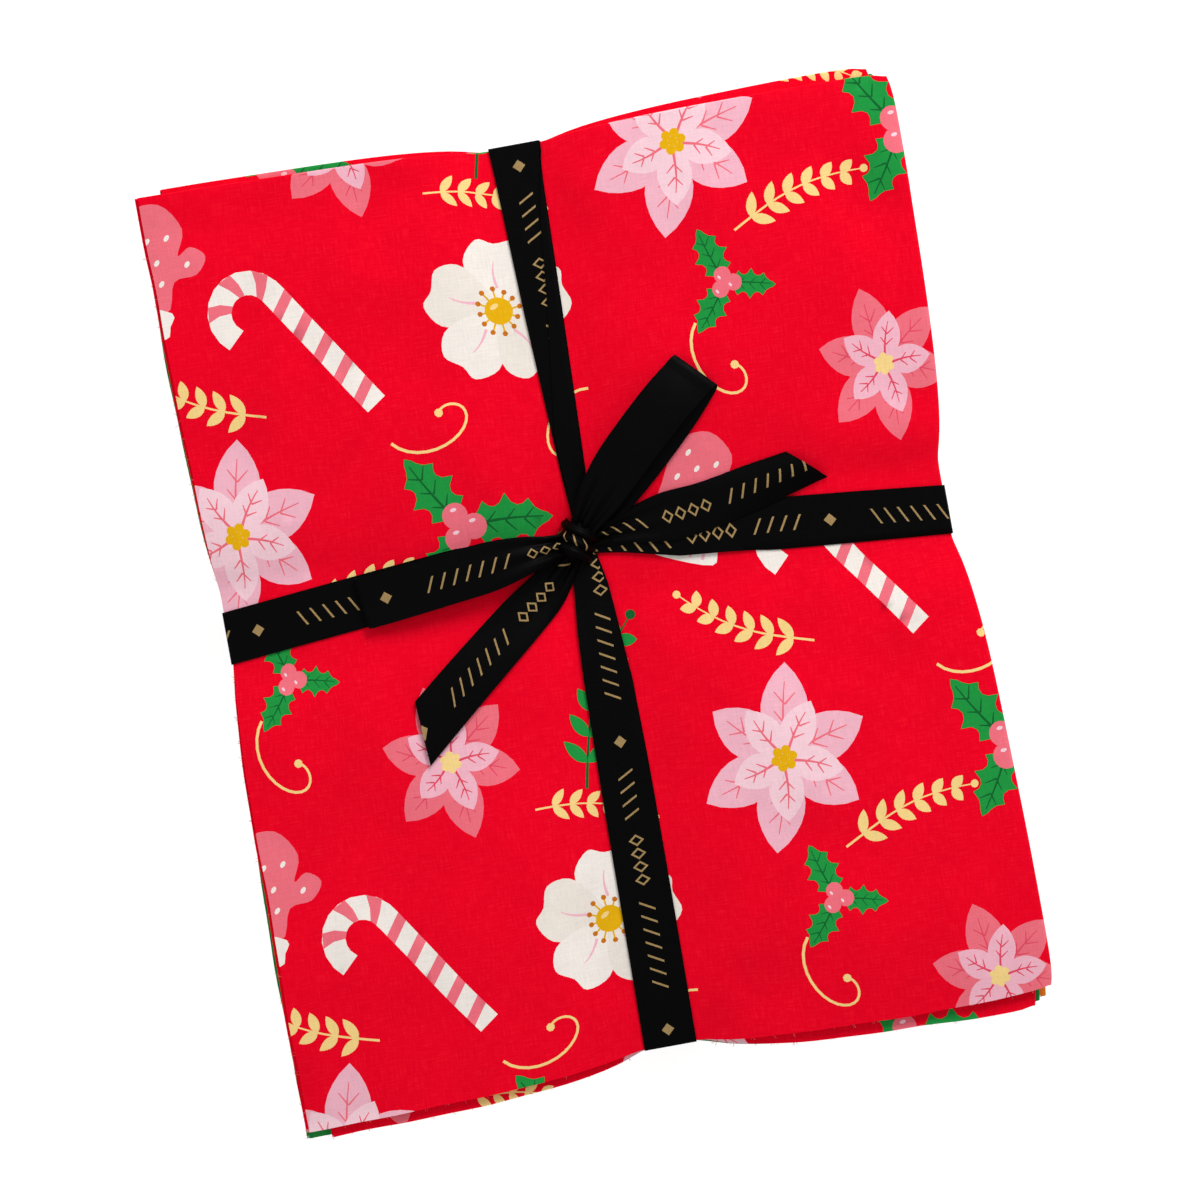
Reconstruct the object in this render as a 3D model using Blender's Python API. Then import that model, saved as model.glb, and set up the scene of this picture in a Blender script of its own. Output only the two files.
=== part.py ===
"""Fat quarter bundle: folded quilting cottons in a stack, tied both ways with a satin
ribbon and a bow.

Every fat quarter is a cut cloth folded in half and in half again, so its solid is one
sheet of four layers that turns round two folds. The stack is built flat and square, and
the tie then squeezes it: the same function draws in the cloth and lays the ribbon on it.
Sizes are in millimetres, with the stack standing on z = 0 and centred on x = y = 0.
"""
import math

import bmesh
import bpy
from mathutils import Vector

for old in list(bpy.data.objects):
    bpy.data.objects.remove(old, do_unlink=True)

MM = 0.001

# The cut of a fat quarter, a quarter of a yard: 18 by 22 inches, folded to 9 by 11
CUT_WIDTH = 457.2
CUT_LENGTH = 558.8
HALF_X = CUT_WIDTH / 4
HALF_Y = CUT_LENGTH / 4

# Cloth, the space between its own layers, and the space to the next fat quarter
CLOTH = 0.45
LAYER_GAP = 0.15
STACK_GAP = 0.38
PITCH = CLOTH + LAYER_GAP
FOLDED = 4 * CLOTH + 3 * LAYER_GAP

# Ribbon, 5/8 inch (15.9) wide: its pull along y acts at LONG_X, the one along x at CROSS_Y
RIBBON = 1.0
RIBBON_GAP = 0.36
INSET = 0.05
LONG_X = -2.0
LONG_FLAT = 10.0
CROSS_Y = 11.9
CROSS_FLAT = 12.5
SHOULDER = 35.0
KNOT_X = -2.7
KNOT_Y = 19.3

# How far the tie draws in each edge, and how much it dents the top
PULL = {"left": 2.5, "right": 5.0, "bottom": 3.7, "top": 0.4}
REACH = 21.0
BARREL = 0.2
PUFF = 1.04
PUFF_TO_FOLDS_X = 0.025
PUFF_TO_FOLDS_Y = 0.02
DENT = 0.11
DENT_AT_EDGE = 0.07
RISE = RIBBON_GAP + RIBBON

# The fat quarters from the bottom up: how far each edge lies past the square stack, how
# much its ends slant, and how far the upper half slips back from the lower one
COLUMNS = ("cotton", "left", "right", "bottom", "top", "slant", "slip")
FAT_QUARTERS = (
    ("red", 0.2, 0.3, 1.5, 2.0, 0.6, 0.3),
    ("pink", 0.9, -0.2, 3.2, 1.2, -0.8, 0.5),
    ("green", 0.3, 0.8, 2.0, 3.0, 1.0, 0.2),
    ("white", 1.2, 0.0, 4.2, 2.2, -0.4, 0.4),
    ("gold", 0.1, -3.0, 1.2, 3.9, 0.8, 0.6),
    ("red", 0.8, 0.2, 3.0, 1.6, 1.2, 0.2),
    ("dark_green", 0.5, 0.9, 4.4, 2.4, -0.6, 0.5),
    ("pink", 1.3, -5.0, 2.4, 4.4, 0.5, 0.3),
    ("white", 0.2, 0.6, 3.9, 2.2, -1.0, 0.4),
    ("green", 1.1, -4.0, 1.8, 4.0, 0.9, 0.2),
    ("brown", 0.5, 0.1, 4.6, 1.8, 0.4, 0.6),
    ("red", 1.3, -2.0, 2.6, 3.4, -0.7, 0.3),
    ("white", 0.3, -6.0, 4.6, 3.6, 1.1, 0.2),
    ("green", 1.1, -3.0, 5.2, 4.2, 0.3, 0.5),
    ("red", -8.0, -5.0, 6.2, 6.2, 0.6, 0.3),
    ("red", 0.4, 1.6, 0.9, 3.2, 1.8, 0.6),
)
STACK = len(FAT_QUARTERS) * FOLDED + (len(FAT_QUARTERS) - 1) * STACK_GAP

# Lines across the cloth that every fat quarter shares, so their facets stay parallel;
# the top one has more
FOLD_X = HALF_X - 1.5 * PITCH - CLOTH / 2
FOLD_Y = HALF_Y - 0.5 * PITCH - CLOTH / 2
LINES_X = (-HALF_X, LONG_X - LONG_FLAT - SHOULDER, LONG_X - LONG_FLAT,
           LONG_X + LONG_FLAT, LONG_X + LONG_FLAT + SHOULDER, FOLD_X)
LINES_Y = (-HALF_Y, CROSS_Y - CROSS_FLAT - SHOULDER, CROSS_Y - CROSS_FLAT,
           CROSS_Y + CROSS_FLAT, CROSS_Y + CROSS_FLAT + SHOULDER, FOLD_Y)
TOP_LINES_X = tuple(sorted(LINES_X + (-80.0, -24.0, 20.0, 78.0)))
TOP_LINES_Y = tuple(sorted(LINES_Y + (-88.0, -14.0, 36.0, 99.0)))

# Colour and roughness of each cotton and of the ribbon
FINISHES = {
    "red": ((0.78, 0.01, 0.02), 0.85),
    "pink": ((0.88, 0.45, 0.52), 0.85),
    "green": ((0.02, 0.24, 0.05), 0.85),
    "dark_green": ((0.01, 0.07, 0.04), 0.85),
    "white": ((0.86, 0.80, 0.74), 0.85),
    "gold": ((0.78, 0.44, 0.02), 0.85),
    "brown": ((0.55, 0.17, 0.02), 0.85),
    "ribbon": ((0.012, 0.011, 0.012), 0.4),
}


def squeeze(distance, flat):
    """How strongly a band squeezes the cloth: 1 under it, fading with distance."""
    return 1 / (1 + max(0.0, abs(distance) - flat) / REACH)


def ramp(distance, flat):
    """1 under a band, falling in a straight line to 0 at the end of its shoulder."""
    return min(1.0, max(0.0, 1 - (abs(distance) - flat) / SHOULDER))


def tied(x, y, height):
    """Where a point of the flat, square stack lies once the ribbon is pulled tight."""
    along = squeeze(x - LONG_X, LONG_FLAT)
    across = squeeze(y - CROSS_Y, CROSS_FLAT)
    rise = RISE * max(ramp(x - LONG_X, LONG_FLAT), ramp(y - CROSS_Y, CROSS_FLAT))
    top = STACK * (PUFF + PUFF_TO_FOLDS_X * x / HALF_X + PUFF_TO_FOLDS_Y * y / HALF_Y)
    top *= 1 - along * (DENT + DENT_AT_EDGE * (y / HALF_Y) ** 2)
    top *= 1 - across * (DENT + DENT_AT_EDGE * (x / HALF_X) ** 2)
    inside = min(max(height, 0.0), STACK)
    z = rise + (top - rise) * inside / STACK + height - inside
    tight = 1 + BARREL * (2 * inside / STACK - 1) ** 2
    pull_x = PULL["right"] if x > 0 else PULL["left"]
    pull_y = PULL["top"] if y > 0 else PULL["bottom"]
    drawn_x = x - pull_x * tight * across * (x / HALF_X) ** 3
    drawn_y = y - pull_y * tight * along * (y / HALF_Y) ** 3
    return Vector((drawn_x, drawn_y, z))


def finish(name):
    """The material of one finish, made once."""
    material = bpy.data.materials.get(name)
    if material is None:
        colour, roughness = FINISHES[name]
        material = bpy.data.materials.new(name)
        material.use_nodes = True
        shader = material.node_tree.nodes["Principled BSDF"]
        shader.inputs["Base Color"].default_value = (*colour, 1.0)
        shader.inputs["Roughness"].default_value = roughness
        material.diffuse_color = (*colour, 1.0)
    return material


def add_solid(name, points, faces, finish_name):
    """A closed solid of triangles from points in millimetres."""
    shell = bmesh.new()
    corners = [shell.verts.new(Vector(point) * MM) for point in points]
    for face in faces:
        shell.faces.new([corners[index] for index in face])
    bmesh.ops.triangulate(shell, faces=shell.faces[:])
    bmesh.ops.recalc_face_normals(shell, faces=shell.faces[:])
    mesh = bpy.data.meshes.new(name)
    shell.to_mesh(mesh)
    shell.free()
    mesh.materials.append(finish(finish_name))
    solid = bpy.data.objects.new(name, mesh)
    bpy.context.scene.collection.objects.link(solid)
    return solid


def loft(name, sections, closed, finish_name):
    """A solid through sections of equally many points; an open one gets two ends."""
    count = len(sections[0])
    points = [point for section in sections for point in section]
    faces = []
    spans = len(sections) if closed else len(sections) - 1
    for span in range(spans):
        near = span * count
        far = (span + 1) % len(sections) * count
        for side in range(count):
            turn = (side + 1) % count
            faces.append((near + side, near + turn, far + turn, far + side))
    if not closed:
        faces.append(tuple(range(count)))
        faces.append(tuple(range(len(points) - count, len(points))))
    return add_solid(name, points, faces, finish_name)


def stations(lines, bends):
    """Stations over one fold: the lower leg, the bend, and the upper leg back."""
    last = len(lines) - 1
    lower = [(line, -90.0) for line in range(last + 1)]
    bend = [(last, -90.0 + 180.0 * step / bends) for step in range(1, bends)]
    upper = [(line, 90.0) for line in range(last, -1, -1)]
    return lower + bend + upper


def fat_quarter(number, row, lines_x, lines_y, bends):
    """One cut cloth: folded at its top edge, then at its right edge, and tied."""
    base = (number - 1) * (FOLDED + STACK_GAP) + FOLDED / 2
    across = stations(lines_x, bends)
    down = stations(lines_y, bends)

    def place(station_x, station_y, offset):
        line_x, turn_x = station_x
        line_y, turn_y = station_y
        x = lines_x[line_x]
        y = lines_y[line_y]
        free_x = 1 - squeeze(y - CROSS_Y, CROSS_FLAT)
        free_y = 1 - squeeze(x - LONG_X, LONG_FLAT)
        lean = row["slant"] * -x / HALF_X
        if line_x == 0:
            x -= free_x * (row["left"] - math.copysign(row["slip"], turn_x))
        if line_x == len(lines_x) - 1:
            x += free_x * row["right"]
        if line_y == 0:
            y -= free_y * (row["bottom"] + lean - math.copysign(row["slip"], turn_y))
        if line_y == len(lines_y) - 1:
            y += free_y * (row["top"] + lean)
        first = PITCH / 2 - offset
        y += first * math.cos(math.radians(turn_y))
        second = PITCH - first * math.sin(math.radians(turn_y))
        x += second * math.cos(math.radians(turn_x))
        return tied(x, y, base + second * math.sin(math.radians(turn_x)))

    points = []
    for offset in (-CLOTH / 2, CLOTH / 2):
        for station_x in across:
            points += [place(station_x, station_y, offset) for station_y in down]

    rows = len(down)
    sheet = len(across) * rows
    faces = []
    for i in range(len(across) - 1):
        for j in range(rows - 1):
            corner = i * rows + j
            cell = (corner, corner + rows, corner + rows + 1, corner + 1)
            back_x = across[i + 1][1] > 0
            back_y = down[j + 1][1] > 0
            if back_x == back_y:
                halves = ((0, 1, 2), (0, 2, 3))
            else:
                halves = ((0, 1, 3), (1, 2, 3))
            for half in halves:
                faces.append([cell[index] for index in half])
                faces.append([cell[index] + sheet for index in half])
    rim = [i * rows for i in range(len(across))]
    rim += [(len(across) - 1) * rows + j for j in range(1, rows)]
    rim += [i * rows + rows - 1 for i in range(len(across) - 2, -1, -1)]
    rim += [j for j in range(rows - 2, 0, -1)]
    for index, corner in enumerate(rim):
        after = rim[(index + 1) % len(rim)]
        faces.append((corner, after, after + sheet, corner + sheet))
    add_solid(f"fat_quarter_{number:02d}", points, faces, row["cotton"])


# Shares of the stack's height at which the ribbon's sides follow its barrel
SIDE_SHARES = (0.25, 0.5, 0.75)
CORNER_TURNS = (0.0, 45.0, 90.0)


def round_the_stack(lines, low, high):
    """Stations of a band round the stack: place, height, outward x and outward z."""
    path = [(line, 0.0, 0.0, -1.0) for line in lines]
    for centre, start in (((high, 0.0), -90.0), ((high, STACK), 0.0),
                          ((low, STACK), 90.0), ((low, 0.0), 180.0)):
        if start == 90.0:
            path += [(line, STACK, 0.0, 1.0) for line in reversed(lines)]
        for turn in CORNER_TURNS:
            angle = math.radians(start + turn)
            path.append((*centre, math.cos(angle), math.sin(angle)))
        if start == -90.0:
            path += [(high, share * STACK, 1.0, 0.0) for share in SIDE_SHARES]
        if start == 90.0:
            path += [(low, share * STACK, -1.0, 0.0) for share in reversed(SIDE_SHARES)]
    return path


# Both edges of each band by the place along it, as measured on top: the bands run straight
# from the sides of the stack up to the knot, where they gather
LONG_EDGES = ((-HALF_Y, -10.3, 5.1), (-57.0, -9.2, 5.5), (-24.0, -8.5, 5.7), (-8.0, -7.6, 4.8),
              (5.0, -6.2, 4.0), (14.0, -6.0, 2.4), (19.0, -5.2, 0.8), (26.0, -4.3, 1.8),
              (38.0, -4.4, 3.4), (90.0, -6.4, 5.3), (132.0, -7.6, 6.8), (HALF_Y, -8.0, 7.2))
CROSS_EDGES = ((-HALF_X, 1.4, 17.3), (-40.0, 8.0, 23.3), (-14.0, 12.9, 22.4), (-3.0, 15.5, 21.7),
               (10.0, 12.8, 20.9), (27.0, 8.5, 22.4), (58.0, 5.7, 21.2), (HALF_X, 0.9, 15.7))


def band_edges(table, place, on_top):
    """Both edges of a band; off the top they run straight from one side to the other."""
    rows = table if on_top else (table[0], table[-1])
    for (near, *start), (far, *end) in zip(rows, rows[1:]):
        if place <= far:
            break
    share = (place - near) / (far - near)
    return [low + (high - low) * share for low, high in zip(start, end)]


def long_band():
    """The band along y, over the ends of the fat quarters and under them."""
    lines = TOP_LINES_Y[1:-1]
    sections = []
    for y, height, out_y, out_z in round_the_stack(lines, -HALF_Y, HALF_Y):
        edges = band_edges(LONG_EDGES, y, out_z == 1.0)
        section = []
        for side, out in ((0, 0), (1, 0), (1, 1), (0, 1)):
            lift = RIBBON_GAP + out * RIBBON
            section.append(tied(edges[side], y + lift * out_y, height + lift * out_z))
        sections.append(section)
    return loft("ribbon", sections, True, "ribbon")


def cross_band():
    """The band along x, over the left and right edges and under the stack."""
    lines = TOP_LINES_X[1:-1]
    sections = []
    for x, height, out_x, out_z in round_the_stack(lines, -HALF_X, HALF_X):
        edges = band_edges(CROSS_EDGES, x, out_z == 1.0)
        section = []
        for side, out in ((0, 0), (1, 0), (1, 1), (0, 1)):
            lift = RIBBON_GAP + INSET + out * (RIBBON - 2 * INSET)
            section.append(tied(x + lift * out_x, edges[side], height + lift * out_z))
        sections.append(section)
    return loft("cross_band", sections, True, "ribbon")


# Sections of the knot from its foot up: height over the cloth and share of full size
KNOT_SECTIONS = ((0.9, 0.62), (2.4, 0.92), (4.4, 1.0), (6.2, 0.88), (7.4, 0.55))
KNOT_LENGTH = 15.0
KNOT_BREADTH = 12.5
KNOT_HEADING = 62.0
KNOT_SIDES = 12
WRAP_BREADTH = 9.0
WRAP_REACH = 7.6
WRAP_HEIGHT = 8.4
WRAP_STEPS = 8


def knot_point(along, beside, height):
    """A point of the knot, whose own axis is turned on the stack."""
    angle = math.radians(KNOT_HEADING)
    x = KNOT_X + along * math.cos(angle) - beside * math.sin(angle)
    y = KNOT_Y + along * math.sin(angle) + beside * math.cos(angle)
    return Vector((x, y, tied(KNOT_X, KNOT_Y, STACK).z + height))


def knot():
    """The rounded body of the knot."""
    sections = []
    for height, share in KNOT_SECTIONS:
        section = []
        for side in range(KNOT_SIDES):
            angle = 2 * math.pi * side / KNOT_SIDES
            along = share * KNOT_LENGTH / 2 * math.cos(angle)
            beside = share * KNOT_BREADTH / 2 * math.sin(angle)
            section.append(knot_point(along, beside, height))
        sections.append(section)
    body = loft("knot", sections, False, "ribbon")
    body.data.shade_smooth()
    return body


def wrap():
    """The turn of ribbon that comes over the knot and holds the bow."""
    sections = []
    for step in range(WRAP_STEPS + 1):
        angle = math.pi * (0.06 + 0.88 * step / WRAP_STEPS)
        section = []
        for side, depth in ((-1, 1.4), (1, 1.4), (1, 0.0), (-1, 0.0)):
            beside = (WRAP_REACH - depth) * math.cos(angle)
            height = (WRAP_HEIGHT - depth) * math.sin(angle)
            section.append(knot_point(side * WRAP_BREADTH / 2, beside, 1.0 + height))
        sections.append(section)
    return loft("wrap", sections, False, "ribbon")


def bow_strip(name, end, route, twist_end=0.0):
    """A strip of the bow that leaves the knot towards an end point in plan.

    The route's rows are the distance from the knot, the height over the cloth and the
    half width; twist_end slants the cut of the last row.
    """
    heading = Vector((end[0] - KNOT_X, end[1] - KNOT_Y)).normalized()
    sections = []
    for index, (reach, lift, half) in enumerate(route):
        before = route[max(index - 1, 0)]
        after = route[min(index + 1, len(route) - 1)]
        run = Vector((after[0] - before[0], after[1] - before[1])).normalized()
        slant = twist_end if index == len(route) - 1 else 0.0
        section = []
        for side, out in ((-1, -0.5), (1, -0.5), (1, 0.5), (-1, 0.5)):
            along = reach - out * RIBBON * run.y + side * slant
            height = lift + out * RIBBON * run.x
            x = KNOT_X + along * heading.x - side * half * heading.y
            y = KNOT_Y + along * heading.y + side * half * heading.x
            section.append(tied(x, y, STACK + height))
        sections.append(section)
    return loft(name, sections, False, "ribbon")


# A loop of the bow by share of its length: height of the lower and the upper strand
# over the cloth, and half its width
LOOP_ROWS = ((0.05, 2.6, 5.2, 3.4), (0.16, 2.5, 7.2, 5.0), (0.30, 2.5, 9.2, 7.0),
             (0.48, 2.5, 9.8, 7.65), (0.66, 2.5, 9.0, 7.65), (0.82, 2.5, 7.4, 7.65),
             (0.93, 2.5, 5.8, 7.65))


def bow_loop(name, tip):
    """A loop of the bow, out along its lower strand and back along the upper one."""
    length = math.hypot(tip[0] - KNOT_X, tip[1] - KNOT_Y)
    lower = [(share * length, low, half) for share, low, _, half in LOOP_ROWS]
    upper = [(share * length, high, half) for share, _, high, half in LOOP_ROWS]
    last, low, high, half = LOOP_ROWS[-1]
    bend = length * (1 - last)
    turn = []
    for angle in (-50.0, 0.0, 50.0):
        reach = last * length + bend * math.cos(math.radians(angle))
        lift = (low + high) / 2 + (high - low) / 2 * math.sin(math.radians(angle))
        turn.append((reach, lift, half))
    return bow_strip(name, tip, lower + turn + upper[::-1])


# A tail of the bow by share of its length: height over the cloth and half its width
TAIL_ROWS = ((0.05, 3.4, 3.2), (0.14, 2.8, 4.0), (0.30, 2.5, 6.0), (0.46, 2.5, 7.95),
             (0.62, 2.5, 7.95), (0.78, 2.5, 7.95), (0.90, 2.4, 7.95), (1.0, 2.2, 7.95))


def bow_tail(name, end, slant):
    """A free end of the ribbon, cut on the slant."""
    length = math.hypot(end[0] - KNOT_X, end[1] - KNOT_Y)
    route = [(share * length, lift, half) for share, lift, half in TAIL_ROWS]
    return bow_strip(name, end, route, slant)


top_number = len(FAT_QUARTERS)
for count, values in enumerate(FAT_QUARTERS, start=1):
    named = dict(zip(COLUMNS, values))
    if count == top_number:
        fat_quarter(count, named, TOP_LINES_X, TOP_LINES_Y, 3)
    else:
        fat_quarter(count, named, LINES_X, LINES_Y, 2)

ribbon = long_band()
pieces = (
    cross_band(),
    knot(),
    wrap(),
    bow_loop("loop_right", (41.1, 62.4)),
    bow_loop("loop_left", (-70.3, 11.7)),
    bow_tail("tail_right", (69.2, 28.6), -5.1),
    bow_tail("tail_left", (-59.0, -29.9), 6.2),
)
for piece in pieces:
    piece.hide_render = True
    piece.display_type = "WIRE"
    join = ribbon.modifiers.new(piece.name, "BOOLEAN")
    join.operation = "UNION"
    join.solver = "EXACT"
    join.object = piece
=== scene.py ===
"""The looks of a fat quarter bundle: printed quilting cottons, folded and stacked, tied
both ways with a black satin ribbon and a bow. Sizes are in millimetres until a mesh is made.
"""
import math

import bpy
import numpy as np
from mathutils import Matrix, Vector
from mathutils.geometry import delaunay_2d_cdt


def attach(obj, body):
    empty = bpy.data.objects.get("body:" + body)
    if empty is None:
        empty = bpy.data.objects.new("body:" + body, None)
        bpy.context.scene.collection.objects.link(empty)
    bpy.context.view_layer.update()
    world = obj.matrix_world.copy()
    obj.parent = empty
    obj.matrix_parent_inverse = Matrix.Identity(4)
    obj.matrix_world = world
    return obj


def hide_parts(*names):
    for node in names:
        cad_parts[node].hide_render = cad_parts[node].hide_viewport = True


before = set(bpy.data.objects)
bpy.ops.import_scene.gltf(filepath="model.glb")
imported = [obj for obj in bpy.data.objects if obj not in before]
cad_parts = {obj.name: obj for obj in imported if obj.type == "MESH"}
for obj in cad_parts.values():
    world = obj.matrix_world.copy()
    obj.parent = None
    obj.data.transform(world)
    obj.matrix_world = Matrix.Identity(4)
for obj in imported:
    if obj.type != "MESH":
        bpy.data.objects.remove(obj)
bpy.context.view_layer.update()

# The cut and the stack. A fat quarter is a quarter of a yard of quilting cotton, cut 18 by
# 22 inches and folded in half twice, so it lies as four layers: folded at the top and at
# the right, free at the left and at the bottom. Sixteen lie on each other. PITCH is the step
# from layer to layer and FOLDED the height of one cloth. Each row of the table says the
# cloth's colour, how far its left and bottom edges lie in and its right and top folds out,
# how it is turned, how far its layers slip, its two dyes, its pattern and that one's step.
MM = 0.001
CUT_WIDTH = 457.2
CUT_LENGTH = 558.8
HALF_X = CUT_WIDTH / 4
HALF_Y = CUT_LENGTH / 4
COTTON_THICK = 0.38
PITCH = 0.6
FOLDED = 2.25
STACK_GAP = 0.38
BEND = 3.0
FOLD_X = HALF_X - 1.5 * PITCH - COTTON_THICK / 2
FOLD_Y = HALF_Y - 0.5 * PITCH - COTTON_THICK / 2
COLUMNS = ("cotton", "left", "right", "bottom", "top", "slant", "slip",
           "ground", "figure", "pattern", "step")
FAT_QUARTERS = (
    ("red", 0.2, 0.3, 1.5, 2.0, 0.6, 0.3, "#D8001F", "#F3B5C5", "stripes", 9.0),
    ("pink", 0.9, -0.2, 3.2, 1.2, -0.8, 0.5, "#F2AFC0", "#E8203C", "dots", 8.0),
    ("green", 0.3, 0.8, 2.0, 3.0, 1.0, 0.2, "#1F8A3C", "#F3EBE3", "checks", 10.0),
    ("white", 1.2, 0.0, 4.2, 2.2, -0.4, 0.4, "#F3EBE3", "#E8B010", "dots", 11.0),
    ("gold", 0.1, -3.0, 1.2, 3.9, 0.8, 0.6, "#E3A81A", "#F7E3A8", "stripes", 6.0),
    ("red", 0.8, 0.2, 3.0, 1.6, 1.2, 0.2, "#E00022", "#F3EBE3", "checks", 12.0),
    ("dark_green", 0.5, 0.9, 4.4, 2.4, -0.6, 0.5, "#1B4A3A", "#F3B5C5", "dots", 14.0),
    ("pink", 1.3, -5.0, 2.4, 4.4, 0.5, 0.3, "#F3B5C5", "#F3EBE3", "stripes", 7.0),
    ("white", 0.2, 0.6, 3.9, 2.2, -1.0, 0.4, "#F3EBE3", "#1F8A3C", "checks", 9.0),
    ("green", 1.1, -4.0, 1.8, 4.0, 0.9, 0.2, "#1F8A3C", "#F3B5C5", "dots", 12.0),
    ("brown", 0.5, 0.1, 4.6, 1.8, 0.4, 0.6, "#C87018", "#F3EBE3", "dots", 7.0),
    ("red", 1.3, -2.0, 2.6, 3.4, -0.7, 0.3, "#DD0020", "#E8B010", "dots", 16.0),
    ("white", 0.3, -6.0, 4.6, 3.6, 1.1, 0.2, "#F6E9E6", "#F0707F", "stripes", 14.0),
    ("green", 1.1, -3.0, 5.2, 4.2, 0.3, 0.5, "#2C9A48", "#1F8A3C", "checks", 8.0),
    ("red", -8.0, -5.0, 6.2, 6.2, 0.6, 0.3, "#EE0022", "#F3B5C5", "print", 0.0),
    ("red", 0.4, 1.6, 0.9, 3.2, 1.8, 0.6, "#EE0022", "#F3B5C5", "print", 0.0),
)
STACK = len(FAT_QUARTERS) * FOLDED + (len(FAT_QUARTERS) - 1) * STACK_GAP

# The tie. The ribbon squeezes the stack along y at LONG_X and along x at CROSS_Y: it dents
# the top, pulls the edges in and lifts the cloth beside it underneath by RISE. Between the
# bands the stack puffs up, most towards the folds, and its free edges droop.
LONG_X = -2.0
LONG_FLAT = 10.0
CROSS_Y = 11.9
CROSS_FLAT = 12.5
SHOULDER = 35.0
EASE = 3.0
REACH = 21.0
PULL = {"left": 2.5, "right": 5.0, "bottom": 3.7, "top": 0.4}
BARREL = 0.2
PUFF = 1.04
PUFF_TO_FOLDS_X = 0.025
PUFF_TO_FOLDS_Y = 0.02
DROOP = 0.05
DROOP_REACH = 38.0
DROOP_AT_LEFT = 0.6
DENT = 0.11
DENT_AT_EDGE = 0.07
RISE = 1.1


def squeeze(distance, flat):
    """How strongly a band squeezes the cloth: 1 under it, easing off with distance."""
    past = np.maximum(0.0, np.abs(distance) - flat + EASE)
    over = np.where(past < 2 * EASE, past ** 2 / (4 * EASE), past - EASE)
    return 1 / (1 + over / REACH)


def ramp(distance, flat):
    """1 under a band, falling softly to 0 at the end of its shoulder."""
    share = np.clip(1 - (np.abs(distance) - flat) / SHOULDER, 0.0, 1.0)
    return share * share * (3 - 2 * share)


# Soft creases that the tie and the folding leave in the top cloths, one by one: where each
# starts and ends, how far it stands up (or down) and how wide it is
CREASE_COLUMNS = ("x0", "y0", "x1", "y1", "height", "width")
CREASE_SHARE = 1.4
CREASES = (
    (108, 22, 62, 48, 0.55, 5.0), (110, 12, 72, 30, -0.35, 4.0), (108, -8, 66, -34, 0.5, 5.0),
    (110, -2, 78, -16, -0.3, 3.5), (-112, 26, -78, 46, 0.4, 5.0), (-112, -6, -70, -26, 0.45, 5.0),
    (9, 137, 30, 98, 0.5, 4.5), (16, 138, 52, 112, -0.35, 5.0), (-13, 137, -34, 104, 0.45, 4.5),
    (-20, 138, -58, 118, -0.3, 5.0), (10, -132, 34, -96, 0.5, 5.0), (18, -134, 58, -112, -0.35, 5.5),
    (-15, -132, -38, -92, 0.5, 5.0), (-24, -134, -62, -110, -0.3, 5.0),
    (16, 30, 48, 74, 0.45, 6.0), (-20, 34, -52, 84, 0.4, 7.0), (-20, -6, -66, -52, 0.4, 7.0),
    (14, -10, 60, -58, 0.45, 7.0), (-90, 96, -44, 62, 0.25, 9.0), (44, 108, 92, 66, -0.25, 10.0),
    (38, -60, 96, -96, 0.25, 9.0), (-96, -70, -40, -104, -0.25, 10.0),
    (118, 102, 100, 136, 1.3, 9.0), (104, 92, 82, 124, -0.6, 9.0), (-34, 138, -50, 110, -0.9, 9.0),
    (-86, 106, -104, 58, -1.1, 9.0), (113, 40, 80, 56, -0.7, 8.0), (113, -18, 80, -42, -1.1, 8.0),
    (-14, -94, -34, -128, -1.0, 10.0), (-113, 4, -84, -10, -1.2, 9.0), (-18, -44, -34, -64, -0.7, 8.0),
    (-113, 132, -60, 131, -0.8, 8.0), (16, -118, 40, -132, -0.7, 9.0),
)


def creases(x, y):
    """Height that the soft creases add at the top of the stack."""
    total = np.zeros_like(x)
    for row in CREASES:
        crease = dict(zip(CREASE_COLUMNS, row))
        run = np.array((crease["x1"] - crease["x0"], crease["y1"] - crease["y0"]), float)
        length = np.hypot(*run)
        run /= length
        along = (x - crease["x0"]) * run[0] + (y - crease["y0"]) * run[1]
        aside = (y - crease["y0"]) * run[0] - (x - crease["x0"]) * run[1]
        share = np.clip(along / length, 0.0, 1.0)
        past = along - share * length
        fade = np.sqrt(np.clip(1 - share, 0.0, 1.0)) * (0.35 + 0.65 * np.minimum(1, share * 6))
        width = crease["width"] * (0.55 + 0.9 * share)
        total += crease["height"] * fade * np.exp(-(aside ** 2 + past ** 2) / width ** 2)
    return CREASE_SHARE * total


# Slow waves that folded cloth keeps: wavelength, heading in degrees, height and phase
WAVES = ((86.0, 20.0, 0.40, 0.4), (61.0, 105.0, 0.34, 2.1), (47.0, 62.0, 0.26, 4.4),
         (38.0, 148.0, 0.20, 1.3), (29.0, 8.0, 0.12, 5.2))


def waves(x, y):
    """Height of the slow waves."""
    total = np.zeros_like(x)
    for length, heading, height, phase in WAVES:
        angle = math.radians(heading)
        travel = x * math.cos(angle) + y * math.sin(angle)
        total += height * np.sin(2 * math.pi * travel / length + phase)
    return total


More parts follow.
